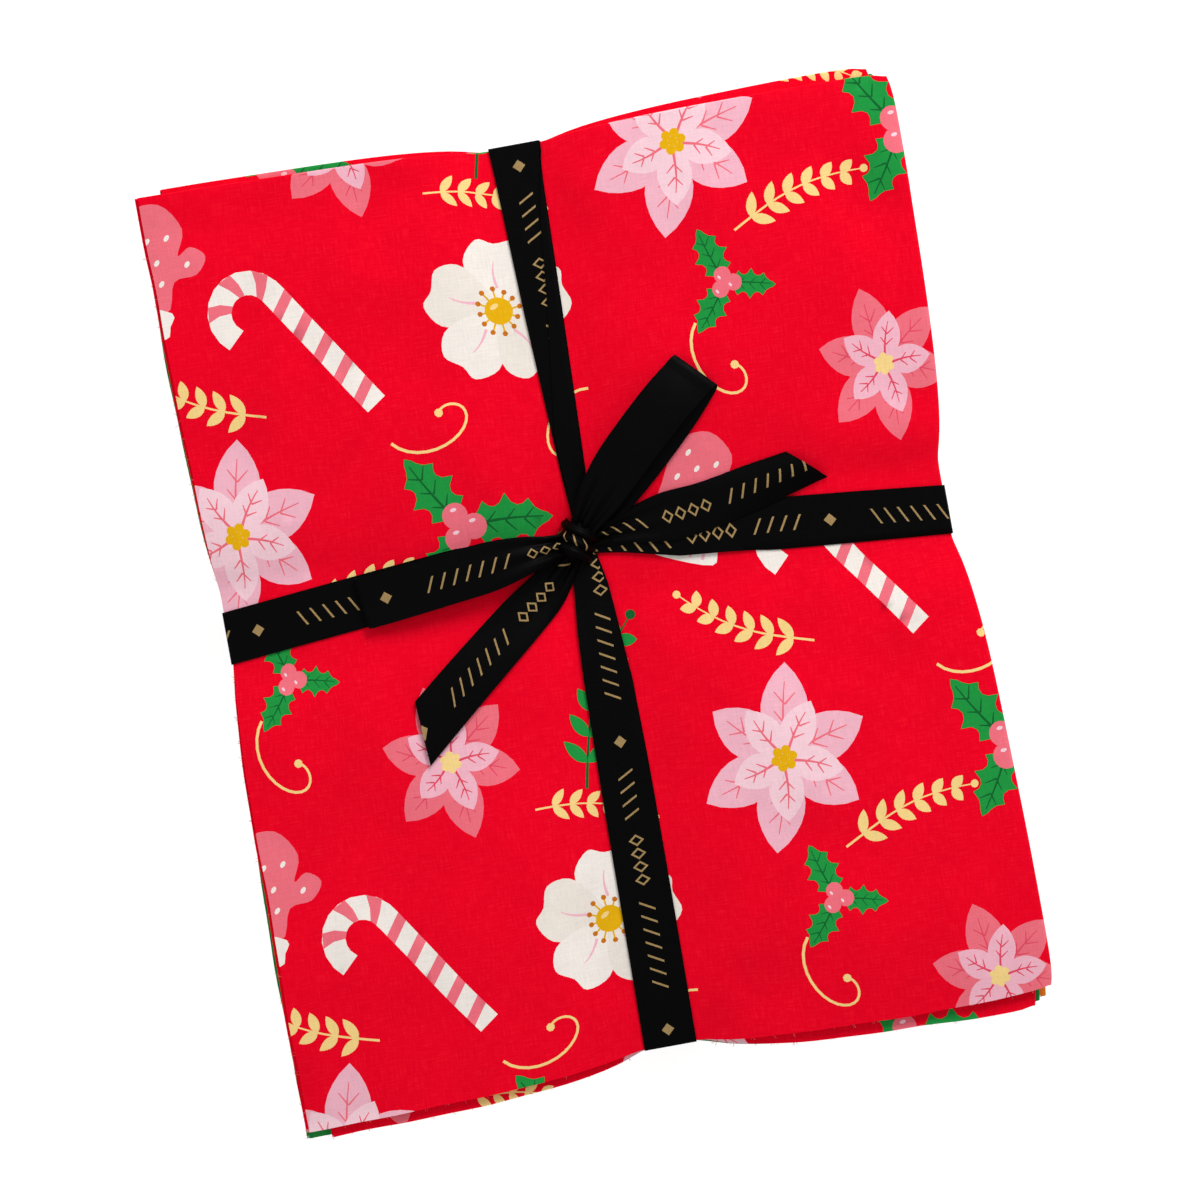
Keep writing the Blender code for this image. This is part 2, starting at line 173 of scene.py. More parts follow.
def tied(x, y, height):
    """Where points of the flat, square stack lie once the ribbon is pulled tight."""
    x, y, height = np.broadcast_arrays(np.asarray(x, float), np.asarray(y, float),
                                       np.asarray(height, float))
    along = squeeze(x - LONG_X, LONG_FLAT)
    across = squeeze(y - CROSS_Y, CROSS_FLAT)
    rise = RISE * np.maximum(ramp(x - LONG_X, LONG_FLAT), ramp(y - CROSS_Y, CROSS_FLAT))
    top = STACK * (PUFF + PUFF_TO_FOLDS_X * x / HALF_X + PUFF_TO_FOLDS_Y * y / HALF_Y)
    free = np.clip(1 - (y + HALF_Y) / DROOP_REACH, 0, 1)
    free = free + DROOP_AT_LEFT * np.clip(1 - (x + HALF_X) / DROOP_REACH, 0, 1)
    top = top - STACK * DROOP * free ** 2
    top = top * (1 - along * (DENT + DENT_AT_EDGE * (y / HALF_Y) ** 2))
    top = top * (1 - across * (DENT + DENT_AT_EDGE * (x / HALF_X) ** 2))
    inside = np.clip(height, 0.0, STACK)
    share = inside / STACK
    loose = 1 - np.maximum(along, across) ** 3
    top = top + loose * (waves(x, y) + share ** 4 * creases(x, y))
    z = rise + (top - rise) * share + height - inside
    tight = 1 + BARREL * (2 * share - 1) ** 2
    pull_x = np.where(x > 0, PULL["right"], PULL["left"])
    pull_y = np.where(y > 0, PULL["top"], PULL["bottom"])
    drawn_x = x - pull_x * tight * across * (x / HALF_X) ** 3
    drawn_y = y - pull_y * tight * along * (y / HALF_Y) ** 3
    return np.stack((drawn_x, drawn_y, z), axis=-1)


def wander(place, number):
    """A cut edge is never quite straight: a few slow bends, other ones for each cloth."""
    seed = 1.7 * number
    return (0.28 * np.sin(place / 23 + seed) + 0.2 * np.sin(place / 9.5 + 2.3 * seed)
            + 0.12 * np.sin(place / 4.1 + 3.1 * seed))


# The two corners at the right fold are blunt, because cloth doesn't fold to a point
CORNER_INSET = 1.3
CORNER_REACH = 5.0


def lay_cotton(flat, offset, number, row):
    """Folds the points of one flat cloth twice and lays them at its place in the stack."""
    u, v = flat[:, 0], flat[:, 1]
    leg_u = (CUT_WIDTH - BEND) / 2
    leg_v = (CUT_LENGTH - BEND) / 2
    in_x = np.clip(np.minimum(u, CUT_WIDTH - u) / leg_u, 0.0, 1.0)
    in_y = np.clip(np.minimum(v, CUT_LENGTH - v) / leg_v, 0.0, 1.0)
    turn_x = np.radians(180 * np.clip((u - leg_u) / BEND, 0.0, 1.0) - 90)
    turn_y = np.radians(180 * np.clip((v - leg_v) / BEND, 0.0, 1.0) - 90)
    x = -HALF_X + in_x * (FOLD_X + HALF_X)
    y = -HALF_Y + in_y * (FOLD_Y + HALF_Y)
    free_x = 1 - squeeze(y - CROSS_Y, CROSS_FLAT)
    free_y = 1 - squeeze(x - LONG_X, LONG_FLAT)
    lean = -row["slant"] * x / HALF_X
    left = row["left"] - row["slip"] * np.sign(turn_x) + wander(y, number)
    bottom = row["bottom"] + lean - row["slip"] * np.sign(turn_y) + wander(x, number + 5)
    x = x + free_x * (row["right"] * in_x - left * (1 - in_x))
    y = y + free_y * ((row["top"] + lean) * in_y - bottom * (1 - in_y))
    to_corner = (1 - in_x) * leg_u + np.minimum(1 - in_y, in_y) * leg_v
    inset = CORNER_INSET * np.exp(-to_corner / CORNER_REACH)
    x = x - inset
    y = y - np.sign(in_y - 0.5) * inset
    first = PITCH / 2 - offset
    y = y + first * np.cos(turn_y)
    second = PITCH - first * np.sin(turn_y)
    x = x + second * np.cos(turn_x)
    base = (number - 1) * (FOLDED + STACK_GAP) + FOLDED / 2
    return tied(x, y, base + second * np.sin(turn_x))


def add_object(name, data):
    """An object for a mesh, a lamp or a camera, in the scene."""
    made = bpy.data.objects.new(name, data)
    bpy.context.scene.collection.objects.link(made)
    return made


SHARP_FROM = 70.0


def make_sheet(name, flat, faces, front, back, colours=None, edge_colour=(0, 0, 0), worn=0.0):
    """A thin closed sheet from its flat points, their faces and both laid surfaces.

    The UV map holds the flat cloth in metres; the attribute "wrong_side" is 1 on the back,
    and on the front where it is worn bare.
    """
    count = len(flat)
    faces = np.asarray(faces)
    corners = faces.shape[1]
    starts = faces.reshape(-1)
    ends = np.roll(faces, -1, axis=1).reshape(-1)
    forward = starts.astype(np.int64) * count + ends
    backward = ends.astype(np.int64) * count + starts
    rim = ~np.isin(forward, backward)
    rim_faces = np.stack((starts[rim], ends[rim], ends[rim] + count, starts[rim] + count), 1)
    polygons = faces[:, ::-1].tolist() + (faces + count).tolist() + rim_faces.tolist()
    mesh = bpy.data.meshes.new(name)
    mesh.from_pydata((np.concatenate((front, back)) * MM).tolist(), [], polygons)
    loops = np.empty(len(mesh.loops), np.int32)
    mesh.loops.foreach_get("vertex_index", loops)
    uv_map = mesh.uv_layers.new(name="UVMap")
    uv_map.data.foreach_set("uv", (np.tile(flat, (2, 1))[loops] * MM).astype(np.float32).reshape(-1))
    wrong = mesh.attributes.new("wrong_side", "FLOAT", "POINT")
    sides = np.concatenate((np.broadcast_to(worn, count), np.ones(count)))
    wrong.data.foreach_set("value", sides.astype(np.float32))
    if colours is not None:
        rgba = np.ones((len(loops), 4), np.float32)
        both = np.repeat(np.concatenate((colours, colours)), corners, axis=0)
        rgba[:len(both), :3] = both
        rgba[len(both):, :3] = edge_colour
        dyed = mesh.color_attributes.new("print", "FLOAT_COLOR", "CORNER")
        dyed.data.foreach_set("color", rgba.reshape(-1))
    mesh.shade_smooth()
    mesh.set_sharp_from_angle(angle=math.radians(SHARP_FROM))
    return add_object(name, mesh)


def lines_between(stops):
    """Places along a leg from stops of (place, step up to it)."""
    places = [stops[0][0]]
    for (start, _), (end, step) in zip(stops, stops[1:]):
        pieces = max(1, round((end - start) / step))
        places += [start + (end - start) * (index + 1) / pieces for index in range(pieces)]
    return np.array(places)


# The lines that a cloth's mesh follows, over one layer: wide apart in the lower cloths,
# closer near the top, closest in the layer that shows
BEND_STEPS = 6
PLAIN_X = lines_between(((-HALF_X, 0), (-47, 9), (-24, 6), (-14, 3.4), (10, 4.8), (20, 3.4),
                         (43, 6), (FOLD_X, 9)))
PLAIN_Y = lines_between(((-HALF_Y, 0), (-36, 9), (-14, 6), (-4, 3.4), (26, 5), (36, 3.4),
                         (58, 6), (FOLD_Y, 9)))
CLOSE_X = lines_between(((-HALF_X, 0), (FOLD_X, 4.2)))
CLOSE_Y = lines_between(((-HALF_Y, 0), (FOLD_Y, 4.2)))
FINE_X = lines_between(((-HALF_X, 0), (FOLD_X, 3.0)))
FINE_Y = lines_between(((-HALF_Y, 0), (FOLD_Y, 3.0)))


def cut_places(lower, upper, low, high, length):
    """Flat places across a cloth: its lower leg, its bend and its upper leg."""
    leg = (length - BEND) / 2
    bend = leg + BEND * np.arange(1, BEND_STEPS) / BEND_STEPS
    near = (lower - low) / (high - low) * leg
    far = length - (upper - low) / (high - low) * leg
    return near, bend, far[::-1]


def plain_net(lines_x, lines_y):
    """Flat points and faces of a cloth whose pattern comes from its material."""
    u = np.concatenate(cut_places(lines_x, lines_x, -HALF_X, FOLD_X, CUT_WIDTH))
    v = np.concatenate(cut_places(lines_y, lines_y, -HALF_Y, FOLD_Y, CUT_LENGTH))
    flat = np.stack(np.meshgrid(u, v, indexing="ij"), -1).reshape(-1, 2)
    corner = (np.arange(len(u) - 1)[:, None] * len(v) + np.arange(len(v) - 1)).reshape(-1)
    faces = np.stack((corner, corner + len(v), corner + len(v) + 1, corner + 1), 1)
    return flat, faces


# The printed cottons. The print on the two top cloths is a general Christmas one of
# flowers, holly, canes and sprigs on red, drawn flat on the cloth as closed shapes of one
# dye each. The cloth's mesh is cut along them, so the print bends with the cloth.
def dye(code):
    """Linear colour of a dye given as it looks, in hexadecimal."""
    shares = [int(code[place:place + 2], 16) / 255 for place in (1, 3, 5)]
    return tuple(c / 12.92 if c <= 0.04045 else ((c + 0.055) / 1.055) ** 2.4 for c in shares)


DYES = {
    "red": dye("#EE0022"),
    "pink": dye("#F3B5C5"),
    "blush": dye("#F8CFD9"),
    "salmon": dye("#F0707F"),
    "rose": dye("#E24A62"),
    "white": dye("#F3EBE3"),
    "mist": dye("#EDE4DA"),
    "green": dye("#1F9440"),
    "dark": dye("#12622E"),
    "gold": dye("#E8B010"),
    "brown": dye("#C87018"),
    "straw": dye("#F7D58A"),
}


def curve_between(before, start, end, after, steps):
    """Points of a smooth curve from start up to end, led by the points on either side."""
    return [0.5 * (2 * start + (end - before) * t + (2 * before - 5 * start + 4 * end - after) * t ** 2
                   + (3 * start - before - 3 * end + after) * t ** 3)
            for t in (step / steps for step in range(steps))]


def point_at(distance, travel, path):
    """The point at a distance along a flat path."""
    return np.array([np.interp(distance, travel, path[:, axis]) for axis in (0, 1)])


def round_shape(radius, sides, stretch=1.0):
    """A disc or an oval."""
    angles = 2 * math.pi * np.arange(sides) / sides
    return np.stack((radius * np.cos(angles), radius * stretch * np.sin(angles)), 1)


def leaf_shape(length, width, fullness=0.45, steps=9, teeth=0, bite=0.0):
    """A leaf or petal from the origin along x: fullness places its widest point."""
    share = np.linspace(0, 1, steps * max(1, teeth) + 1)
    power = math.log(0.5) / math.log(fullness)
    half = width / 2 * np.sin(math.pi * share ** power) ** 0.8
    if teeth:
        half = half * (1 - bite * np.abs(np.sin(math.pi * teeth * share)) ** 0.7)
    upper = np.stack((length * share, half), 1)
    lower = np.stack((length * share[1:-1], -half[1:-1]), 1)
    return np.concatenate((upper, lower[::-1]))


def line_shape(points, width, end_width=None):
    """A drawn line as a narrow closed shape."""
    points = np.asarray(points, float)
    run = np.gradient(points, axis=0)
    run /= np.maximum(1e-6, np.hypot(run[:, 0], run[:, 1]))[:, None]
    half = np.linspace(width, width if end_width is None else end_width, len(points)) / 2
    side = np.stack((-run[:, 1], run[:, 0]), 1) * half[:, None]
    return np.concatenate((points + side, (points - side)[::-1]))


def smooth_loop(points, steps=5):
    """A rounded closed outline through a few points."""
    points = np.asarray(points, float)
    out = []
    for index in range(len(points)):
        out += curve_between(*(points[(index + shift) % len(points)] for shift in (-1, 0, 1, 2)), steps)
    return np.array(out)


def turned(shape, degrees, x=0.0, y=0.0, size=1.0):
    """A shape turned, scaled and moved."""
    angle = math.radians(degrees)
    turn = np.array(((math.cos(angle), math.sin(angle)), (-math.sin(angle), math.cos(angle))))
    return shape @ turn * size + np.array((x, y))


def winter_flower(petal, vein, heart):
    """A big Christmas flower of pointed petals, with veins and a dotted heart."""
    shapes = []
    for ring, (count, length, width, start) in enumerate(((6, 27, 14.5, 8), (5, 18, 10.5, 40))):
        for index in range(count):
            angle = start + 360 * index / count + 5 * math.sin(3 * index + ring)
            reach = length * (1 + 0.07 * math.sin(2.1 * index + ring))
            shapes.append((petal[ring], turned(leaf_shape(reach, width, 0.5), angle)))
            middle = np.stack((np.linspace(3, reach * 0.8, 6), 0.5 * np.sin(np.linspace(0, 3, 6))), 1)
            shapes.append((vein, turned(line_shape(middle, 0.9, 0.3), angle)))
            for place, side in ((0.36, 1), (0.36, -1), (0.56, 1), (0.56, -1)):
                twig = np.array(((reach * place, 0), (reach * (place + 0.13), side * width * 0.22)))
                shapes.append((vein, turned(line_shape(twig, 0.6, 0.3), angle)))
    for index in range(6):
        angle = 2 * math.pi * index / 6
        dot = round_shape(1.5, 8) + 2.6 * np.array((math.cos(angle), math.sin(angle)))
        shapes.append((heart, dot))
    shapes.append((heart, round_shape(1.5, 8)))
    return shapes


def rose():
    """A white Christmas rose of five round petals with a gold heart."""
    shapes = []
    for index in range(5):
        angle = 72 * index + 12
        petal = smooth_loop(((1, 0), (7, -6.5), (15, -9.6), (21, -6), (20.5, 0.4),
                             (21.5, 5.5), (15, 9.6), (7, 6.5)), 4)
        shapes.append(("white" if index % 2 else "mist", turned(petal, angle)))
    for index in range(5):
        angle = 72 * index + 12
        fold = np.stack((np.linspace(7, 15, 5), np.sin(np.linspace(0, 2.4, 5))), 1)
        shapes.append(("pink", turned(line_shape(fold, 0.9, 0.3), angle)))
    shapes.append(("gold", round_shape(4.2, 16)))
    for index in range(12):
        angle = 2 * math.pi * index / 12 + 0.1
        reach = 6.4 + 0.7 * math.sin(5 * index)
        way = np.array((math.cos(angle), math.sin(angle)))
        shapes.append(("gold", line_shape((way * 4, way * reach), 0.55)))
        shapes.append(("brown", round_shape(0.85, 6) + way * reach))
    shapes.append(("straw", turned(round_shape(1.5, 8, 0.5), 30, -1.2, 1.4)))
    return shapes


def holly():
    """Three toothed holly leaves with their ribs and three berries."""
    shapes = []
    for angle, size in ((28, 1.0), (152, 0.95), (268, 0.85)):
        blade = leaf_shape(29, 17.5, 0.48, 4, 4, 0.42)
        shapes.append(("green", turned(blade, angle, size=size)))
        rib = np.stack((np.linspace(2, 26, 6), 0.7 * np.sin(np.linspace(0, 2.6, 6))), 1)
        shapes.append(("dark", turned(line_shape(rib, 1.1, 0.4), angle, size=size)))
        for place in (8, 14, 20):
            for side in (-1, 1):
                twig = np.array(((place, 0), (place + 3.2, side * 3.4)))
                shapes.append(("dark", turned(line_shape(twig, 0.7, 0.3), angle, size=size)))
    for x, y in ((-3.2, 2.2), (3.6, 1.4), (0.2, -4.0)):
        shapes.append(("salmon", round_shape(4.1, 18) + np.array((x, y))))
        shapes.append(("blush", turned(round_shape(1.1, 8, 0.55), 40, x - 1.2, y + 1.5)))
    return shapes


def cane():
    """A sugar cane: a straight stick with a crook, striped on the slant."""
    angles = np.radians(np.linspace(0, 200, 11))
    crook = np.stack((-9 + 9 * np.cos(angles), 18 + 9 * np.sin(angles)), 1)
    middle = np.concatenate((((0, -27), (0, -12), (0, 3)), crook))
    steps = np.hypot(*np.diff(middle, axis=0).T)
    travel = np.concatenate(((0,), np.cumsum(steps)))

    def at(distance):
        run = point_at(distance + 0.5, travel, middle) - point_at(distance - 0.5, travel, middle)
        run /= max(1e-6, np.hypot(*run))
        return point_at(distance, travel, middle), np.array((-run[1], run[0]))

    half = 3.6
    sides = [[], []]
    for distance in np.linspace(0, travel[-1], 26):
        place, side = at(distance)
        sides[0].append(place + half * side)
        sides[1].append(place - half * side)
    shapes = [("white", np.array(sides[0] + sides[1][::-1]))]
    for start in np.arange(2.5, travel[-1] - 6, 8.6):
        stripe = []
        for distance, reach in ((start, 1), (start + 1.3, 0), (start + 2.6, -1),
                                (start + 6.0, -1), (start + 4.7, 0), (start + 3.4, 1)):
            place, side = at(distance)
            stripe.append(place + half * reach * side * 0.999)
        shapes.append(("salmon", np.array(stripe)))
    return shapes


def sprig(stem, leaf):
    """A thin curved stem with small paired leaves and a berry at its tip."""
    along = np.linspace(0, 1, 12)
    path = np.stack((60 * along - 30, 7 * np.sin(2.6 * along) - 4), 1)
    shapes = [(stem, line_shape(path, 1.0, 0.5))]
    for index, place in enumerate((0.14, 0.28, 0.42, 0.56, 0.70, 0.84)):
        root = point_at(place, along, path)
        for side in (-1, 1):
            blade = leaf_shape(10.5 - 0.7 * index, 4.4, 0.45, 7)
            shapes.append((leaf, turned(blade, side * 48 + 18 - 8 * index, *root)))
    shapes.append((stem, round_shape(1.7, 10) + path[-1]))
    return shapes


def mitten():
    """A knitted mitten with a turned cuff and spots."""
    hand = smooth_loop(((-9, -12), (9, -12), (9.5, -2), (15.5, 2), (17, 8), (12, 9.5),
                        (9, 6), (8.5, 14), (0, 19), (-8.5, 14), (-10, 2)), 4)
    cuff = smooth_loop(((-11, -19), (0, -20), (11, -19), (11.5, -15), (11, -11), (0, -11.6),
                        (-11, -11), (-11.5, -15)), 3)
    shapes = [("salmon", hand), ("white", cuff)]
    for x in (-7.5, -3.7, 0, 3.7, 7.5):
        shapes.append(("pink", line_shape(((x, -18.2), (x, -12.8)), 1.0)))
    for x, y in ((-5, -6), (1.5, -6.5), (6, -3.5), (-1.8, -1), (-6, 4), (3.4, 2.2), (-0.8, 7.6),
                 (4.6, 10.2), (-4.6, 11.6), (12.2, 4.2)):
        shapes.append(("white", turned(round_shape(1.15, 8, 0.6), 70, x, y)))
    return shapes


def curl():
    """A gold tendril that ends in a small round curl."""
    turn = np.linspace(0, 1, 22)
    angle = 4.2 * turn + 0.9 * turn ** 2
    reach = 16 * (1 - turn) ** 1.2 + 1.6
    path = np.stack((reach * np.cos(angle) - 4, 0.7 * reach * np.sin(angle)), 1)
    return [("straw", line_shape(path, 0.9, 0.7)), ("straw", round_shape(1.3, 8) + path[-1])]


MOTIFS = {
    "pink_flower": winter_flower(("pink", "blush"), "salmon", "gold"),
    "salmon_flower": winter_flower(("salmon", "pink"), "rose", "straw"),
    "rose": rose(),
    "holly": holly(),
    "cane": cane(),
    "gold_sprig": sprig("straw", "straw"),
    "green_sprig": sprig("dark", "green"),
    "mitten": mitten(),
    "curl": curl(),
}
# One repeat of the print, which steps half its height down from one column to the next: the
# motif, its place, the way it is turned and its size
REPEAT_X = 150.0
REPEAT_Y = 186.0
REPEAT = (
    ("pink_flower", 32, 30, 10, 1.0), ("holly", 100, 22, -30, 0.95), ("rose", 122, 84, 0, 1.0),
    ("cane", 66, 84, 34, 1.0), ("mitten", 20, 112, -24, 1.0), ("salmon_flower", 84, 140, 32, 0.82),
    ("green_sprig", 132, 150, 62, 0.9), ("gold_sprig", 66, 8, 12, 0.72),
    ("gold_sprig", 28, 72, 148, 0.72), ("curl", 96, 54, 200, 1.0), ("curl", 138, 46, 60, 0.9),
    ("curl", 36, 150, 120, 1.0), ("gold_sprig", 124, 118, -18, 0.6), ("holly", 40, 172, 80, 0.62),
)
MOTIF_REACH = 32


def print_shapes(low, high, start):
    """All shapes of the print that fall in a field of the cloth, as (dye, outline)."""
    shapes = []
    for column in range(-1, 5):
        for step in range(-1, 5):
            left = column * REPEAT_X - start[0]
            bottom = step * REPEAT_Y + (column % 2) * REPEAT_Y / 2 - start[1]
            for motif, x, y, angle, size in REPEAT:
                middle = np.array((left + x, bottom + y))
                if np.all(middle > low - MOTIF_REACH) and np.all(middle < high + MOTIF_REACH):
                    for colour, shape in MOTIFS[motif]:
                        shapes.append((colour, turned(shape, angle, *middle, size)))
    return shapes


def printed_net(lines_x, lines_y, shapes):
    """Flat points, triangles and dyes of a cloth cut along the shapes of its print."""
    near_u, bend_u, far_u = cut_places(CLOSE_X, lines_x, -HALF_X, FOLD_X, CUT_WIDTH)
    near_v, bend_v, far_v = cut_places(lines_y, CLOSE_Y, -HALF_Y, FOLD_Y, CUT_LENGTH)
    under_u = cut_places(CLOSE_X, CLOSE_X, -HALF_X, FOLD_X, CUT_WIDTH)[2]
    under_v = cut_places(CLOSE_Y, CLOSE_Y, -HALF_Y, FOLD_Y, CUT_LENGTH)[0]
    points = [(u, v) for u in near_u for v in np.concatenate((under_v, bend_v, far_v))]
    points += [(u, v) for u in np.concatenate((bend_u, far_u)) for v in np.concatenate((near_v, bend_v))]
    points += [(u, v) for u in np.concatenate((bend_u, under_u)) for v in far_v]
    ends = [((u, 0), (u, CUT_LENGTH)) for u in (near_u[-1], *bend_u, far_u[0])]
    ends += [((0, v), (CUT_WIDTH, v)) for v in (near_v[-1], *bend_v, far_v[0])]
    bends = [(len(points) + 2 * index, len(points) + 2 * index + 1) for index in range(len(ends))]
    points += [end for pair in ends for end in pair]
    outline = [(0, 0), (CUT_WIDTH, 0), (CUT_WIDTH, CUT_LENGTH), (0, CUT_LENGTH)]
    loops = [list(range(len(points), len(points) + 4))]
    points += outline
    for _, shape in shapes:
        seen = np.stack((CUT_WIDTH - shape[:, 0], shape[:, 1]), 1)
        after = np.roll(seen, -1, axis=0)
        if np.sum(seen[:, 0] * after[:, 1] - seen[:, 1] * after[:, 0]) < 0:
            seen = seen[::-1]
        loops.append(list(range(len(points), len(points) + len(seen))))
        points += [tuple(place) for place in seen]
    flat, _, faces, _, _, inside = delaunay_2d_cdt([Vector(place) for place in points],
                                                   bends, loops, 0, 1e-4, True)
    flat = np.array([tuple(place) for place in flat])
    faces = np.array(faces)
    named = ["red"] + [colour for colour, _ in shapes]
    colours = np.array([DYES[named[max(found)]] if found else DYES["red"] for found in inside])
    kept = np.array([bool(found) and 0 in found for found in inside])
    return flat, faces[kept], colours[kept]


def add_node(tree, kind, inputs=None, **settings):
    """A shader node with its settings; an input is a value or another node's output."""
    made = tree.nodes.new(kind)
    for key, value in settings.items():
        setattr(made, key, value)
    for socket, value in (inputs or {}).items():
        if isinstance(value, bpy.types.NodeSocket):
            tree.links.new(value, made.inputs[socket])
        else:
            made.inputs[socket].default_value = value
    return made


def sums(tree, operation, first, second=0.0, third=0.0):
    """The result of a Math node."""
    made = add_node(tree, "ShaderNodeMath", operation=operation)
    for index, value in enumerate((first, second, third)):
        if isinstance(value, bpy.types.NodeSocket):
            tree.links.new(value, made.inputs[index])
        else:
            made.inputs[index].default_value = value
    return made.outputs[0]


def blend(tree, factor, first, second, mode="MIX"):
    """The colour output of a Mix node; colours are sockets or three numbers."""
    made = add_node(tree, "ShaderNodeMix", data_type="RGBA", blend_type=mode)
    for index, value in ((0, factor), (6, first), (7, second)):
        if isinstance(value, bpy.types.NodeSocket):
            tree.links.new(value, made.inputs[index])
        else:
            made.inputs[index].default_value = value if index == 0 else (*value, 1.0)
    return made.outputs[2]


def noise(tree, vector, scale, detail=2.0, roughness=0.5):
    """The value of a Noise Texture node."""
    return add_node(tree, "ShaderNodeTexNoise", {"Vector": vector, "Scale": scale, "Detail": detail,
                    "Roughness": roughness}).outputs[0]


def remap(tree, value, low, high, to_low, to_high):
    """A value moved from one range to another, and held within it."""
    return add_node(tree, "ShaderNodeMapRange", {0: value, 1: low, 2: high, 3: to_low, 4: to_high}).outputs[0]


def new_material(name):
    """A material with its node tree and its shader."""
    made = bpy.data.materials.new(name)
    made.use_nodes = True
    return made, made.node_tree, made.node_tree.nodes["Principled BSDF"]


def cloth_place(tree):
    """The place on the flat cloth in metres, whole and as u and v."""
    place = add_node(tree, "ShaderNodeUVMap", uv_map="UVMap").outputs[0]
    return place, *add_node(tree, "ShaderNodeSeparateXYZ", {0: place}).outputs[:2]


def part_of_step(tree, place, step):
    """How far a place has come through a step that repeats, from 0 to 1."""
    return sums(tree, "FRACT", sums(tree, "DIVIDE", place, step))


def stretched_noise(tree, place, across, along, roughness=0.5):
    """Noise drawn out one way, as threads are."""
    stretched = add_node(tree, "ShaderNodeMapping", {"Vector": place, "Scale": (across, along, 1.0)})
    return noise(tree, stretched.outputs[0], 1.0, roughness=roughness)


# The lower cloths' figures, as shares of their step
STRIPE_SHARE = 0.38
DOT_RADIUS = 0.249
DIAGONAL = 1.414


def figure_mask(tree, u, v, pattern, step):
    """Where a simple woven-look pattern prints its figure: dots, stripes or checks."""
    if pattern == "stripes":
        return sums(tree, "LESS_THAN", part_of_step(tree, u, step * MM), STRIPE_SHARE)
    if pattern == "dots":
        squares = []
        for way in ("ADD", "SUBTRACT"):
            part = part_of_step(tree, sums(tree, way, u, v), step * MM * DIAGONAL)
            squares.append(sums(tree, "POWER", sums(tree, "SUBTRACT", part, 0.5), 2.0))
        return sums(tree, "LESS_THAN", sums(tree, "ADD", *squares), DOT_RADIUS ** 2)
    rows = [sums(tree, "LESS_THAN", part_of_step(tree, place, step * MM), 0.5) for place in (u, v)]
    return sums(tree, "MULTIPLY", sums(tree, "ADD", *rows), 0.5)


# Threads to a metre across and along themselves, how much of the undyed yarn shows in the
# weave, and how much paler the wrong side is
THREADS_ACROSS = 2700.0
THREADS_ALONG = 190.0
SLUBS_SHOW = 0.010
SLUB = (0.95, 0.80, 0.78)
WRONG_SIDE_PALER = 0.42
WRONG_SIDE = (0.88, 0.80, 0.78)


def cotton_material(name, ground, figure, pattern, step):
    """Printed quilting cotton: plain weave with slubs, matt, paler on its wrong side."""
    material, tree, shader = new_material(name)
    place, u, v = cloth_place(tree)
    if pattern == "print":
        colour = add_node(tree, "ShaderNodeAttribute", attribute_name="print").outputs["Color"]
    else:
        colour = blend(tree, figure_mask(tree, u, v, pattern, step), ground, figure)
    threads = [stretched_noise(tree, place, *scales, roughness=0.6)
               for scales in ((THREADS_ACROSS, THREADS_ALONG), (THREADS_ALONG, THREADS_ACROSS))]
    weave = sums(tree, "MULTIPLY", sums(tree, "ADD", *threads), 0.5)
    cloudy = noise(tree, place, 60.0)
    tone = sums(tree, "ADD", sums(tree, "MULTIPLY", weave, 0.75), sums(tree, "MULTIPLY", cloudy, 0.25))
    colour = blend(tree, 1.0, colour, remap(tree, tone, 0.34, 0.66, 0.86, 1.06), "MULTIPLY")
    colour = blend(tree, remap(tree, weave, 0.5, 0.75, 0.0, SLUBS_SHOW), colour, SLUB)
    wrong = add_node(tree, "ShaderNodeAttribute", attribute_name="wrong_side").outputs["Fac"]
    colour = blend(tree, sums(tree, "MULTIPLY", wrong, WRONG_SIDE_PALER), colour, WRONG_SIDE)
    tree.links.new(colour, shader.inputs["Base Color"])
    bump = add_node(tree, "ShaderNodeBump", {"Height": weave, "Strength": 0.35, "Distance": 0.00012})
    tree.links.new(bump.outputs[0], shader.inputs["Normal"])
    shader.inputs["Roughness"].default_value = 0.88
    shader.inputs["Specular IOR Level"].default_value = 0.03
    shader.inputs["Sheen Weight"].default_value = 0.02
    shader.inputs["Sheen Roughness"].default_value = 0.5
    return material


PLAIN_NET = plain_net(PLAIN_X, PLAIN_Y)
CLOSE_NET = plain_net(CLOSE_X, CLOSE_Y)
CLOSE_FROM = 12
TOP_FIELD = (np.array((-4.0, -8.0)), np.array((CUT_WIDTH / 2 + 6, CUT_LENGTH / 2 + 6)))
PRINT_STARTS = {15: (64.0, 118.0), 16: (22.0, 40.0)}
for number, values in enumerate(FAT_QUARTERS, start=1):
    row = dict(zip(COLUMNS, values))
    name = f"cotton_{number:02d}"
    colours = None
    if row["pattern"] == "print":
        top = number == len(FAT_QUARTERS)
        shapes = print_shapes(*TOP_FIELD, PRINT_STARTS[number])
        flat, faces, colours = printed_net(FINE_X if top else CLOSE_X, FINE_Y if top else CLOSE_Y, shapes)
    else:
        flat, faces = CLOSE_NET if number >= CLOSE_FROM else PLAIN_NET
    front = lay_cotton(flat, -COTTON_THICK / 2, number, row)
    back = lay_cotton(flat, COTTON_THICK / 2, number, row)
    cloth = make_sheet(name, flat, faces, front, back, colours, DYES["red"])
    cloth.data.materials.append(cotton_material(name, dye(row["ground"]), dye(row["figure"]),
                                                row["pattern"], row["step"]))
    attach(cloth, "root")
    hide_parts(f"fat_quarter_{number:02d}")

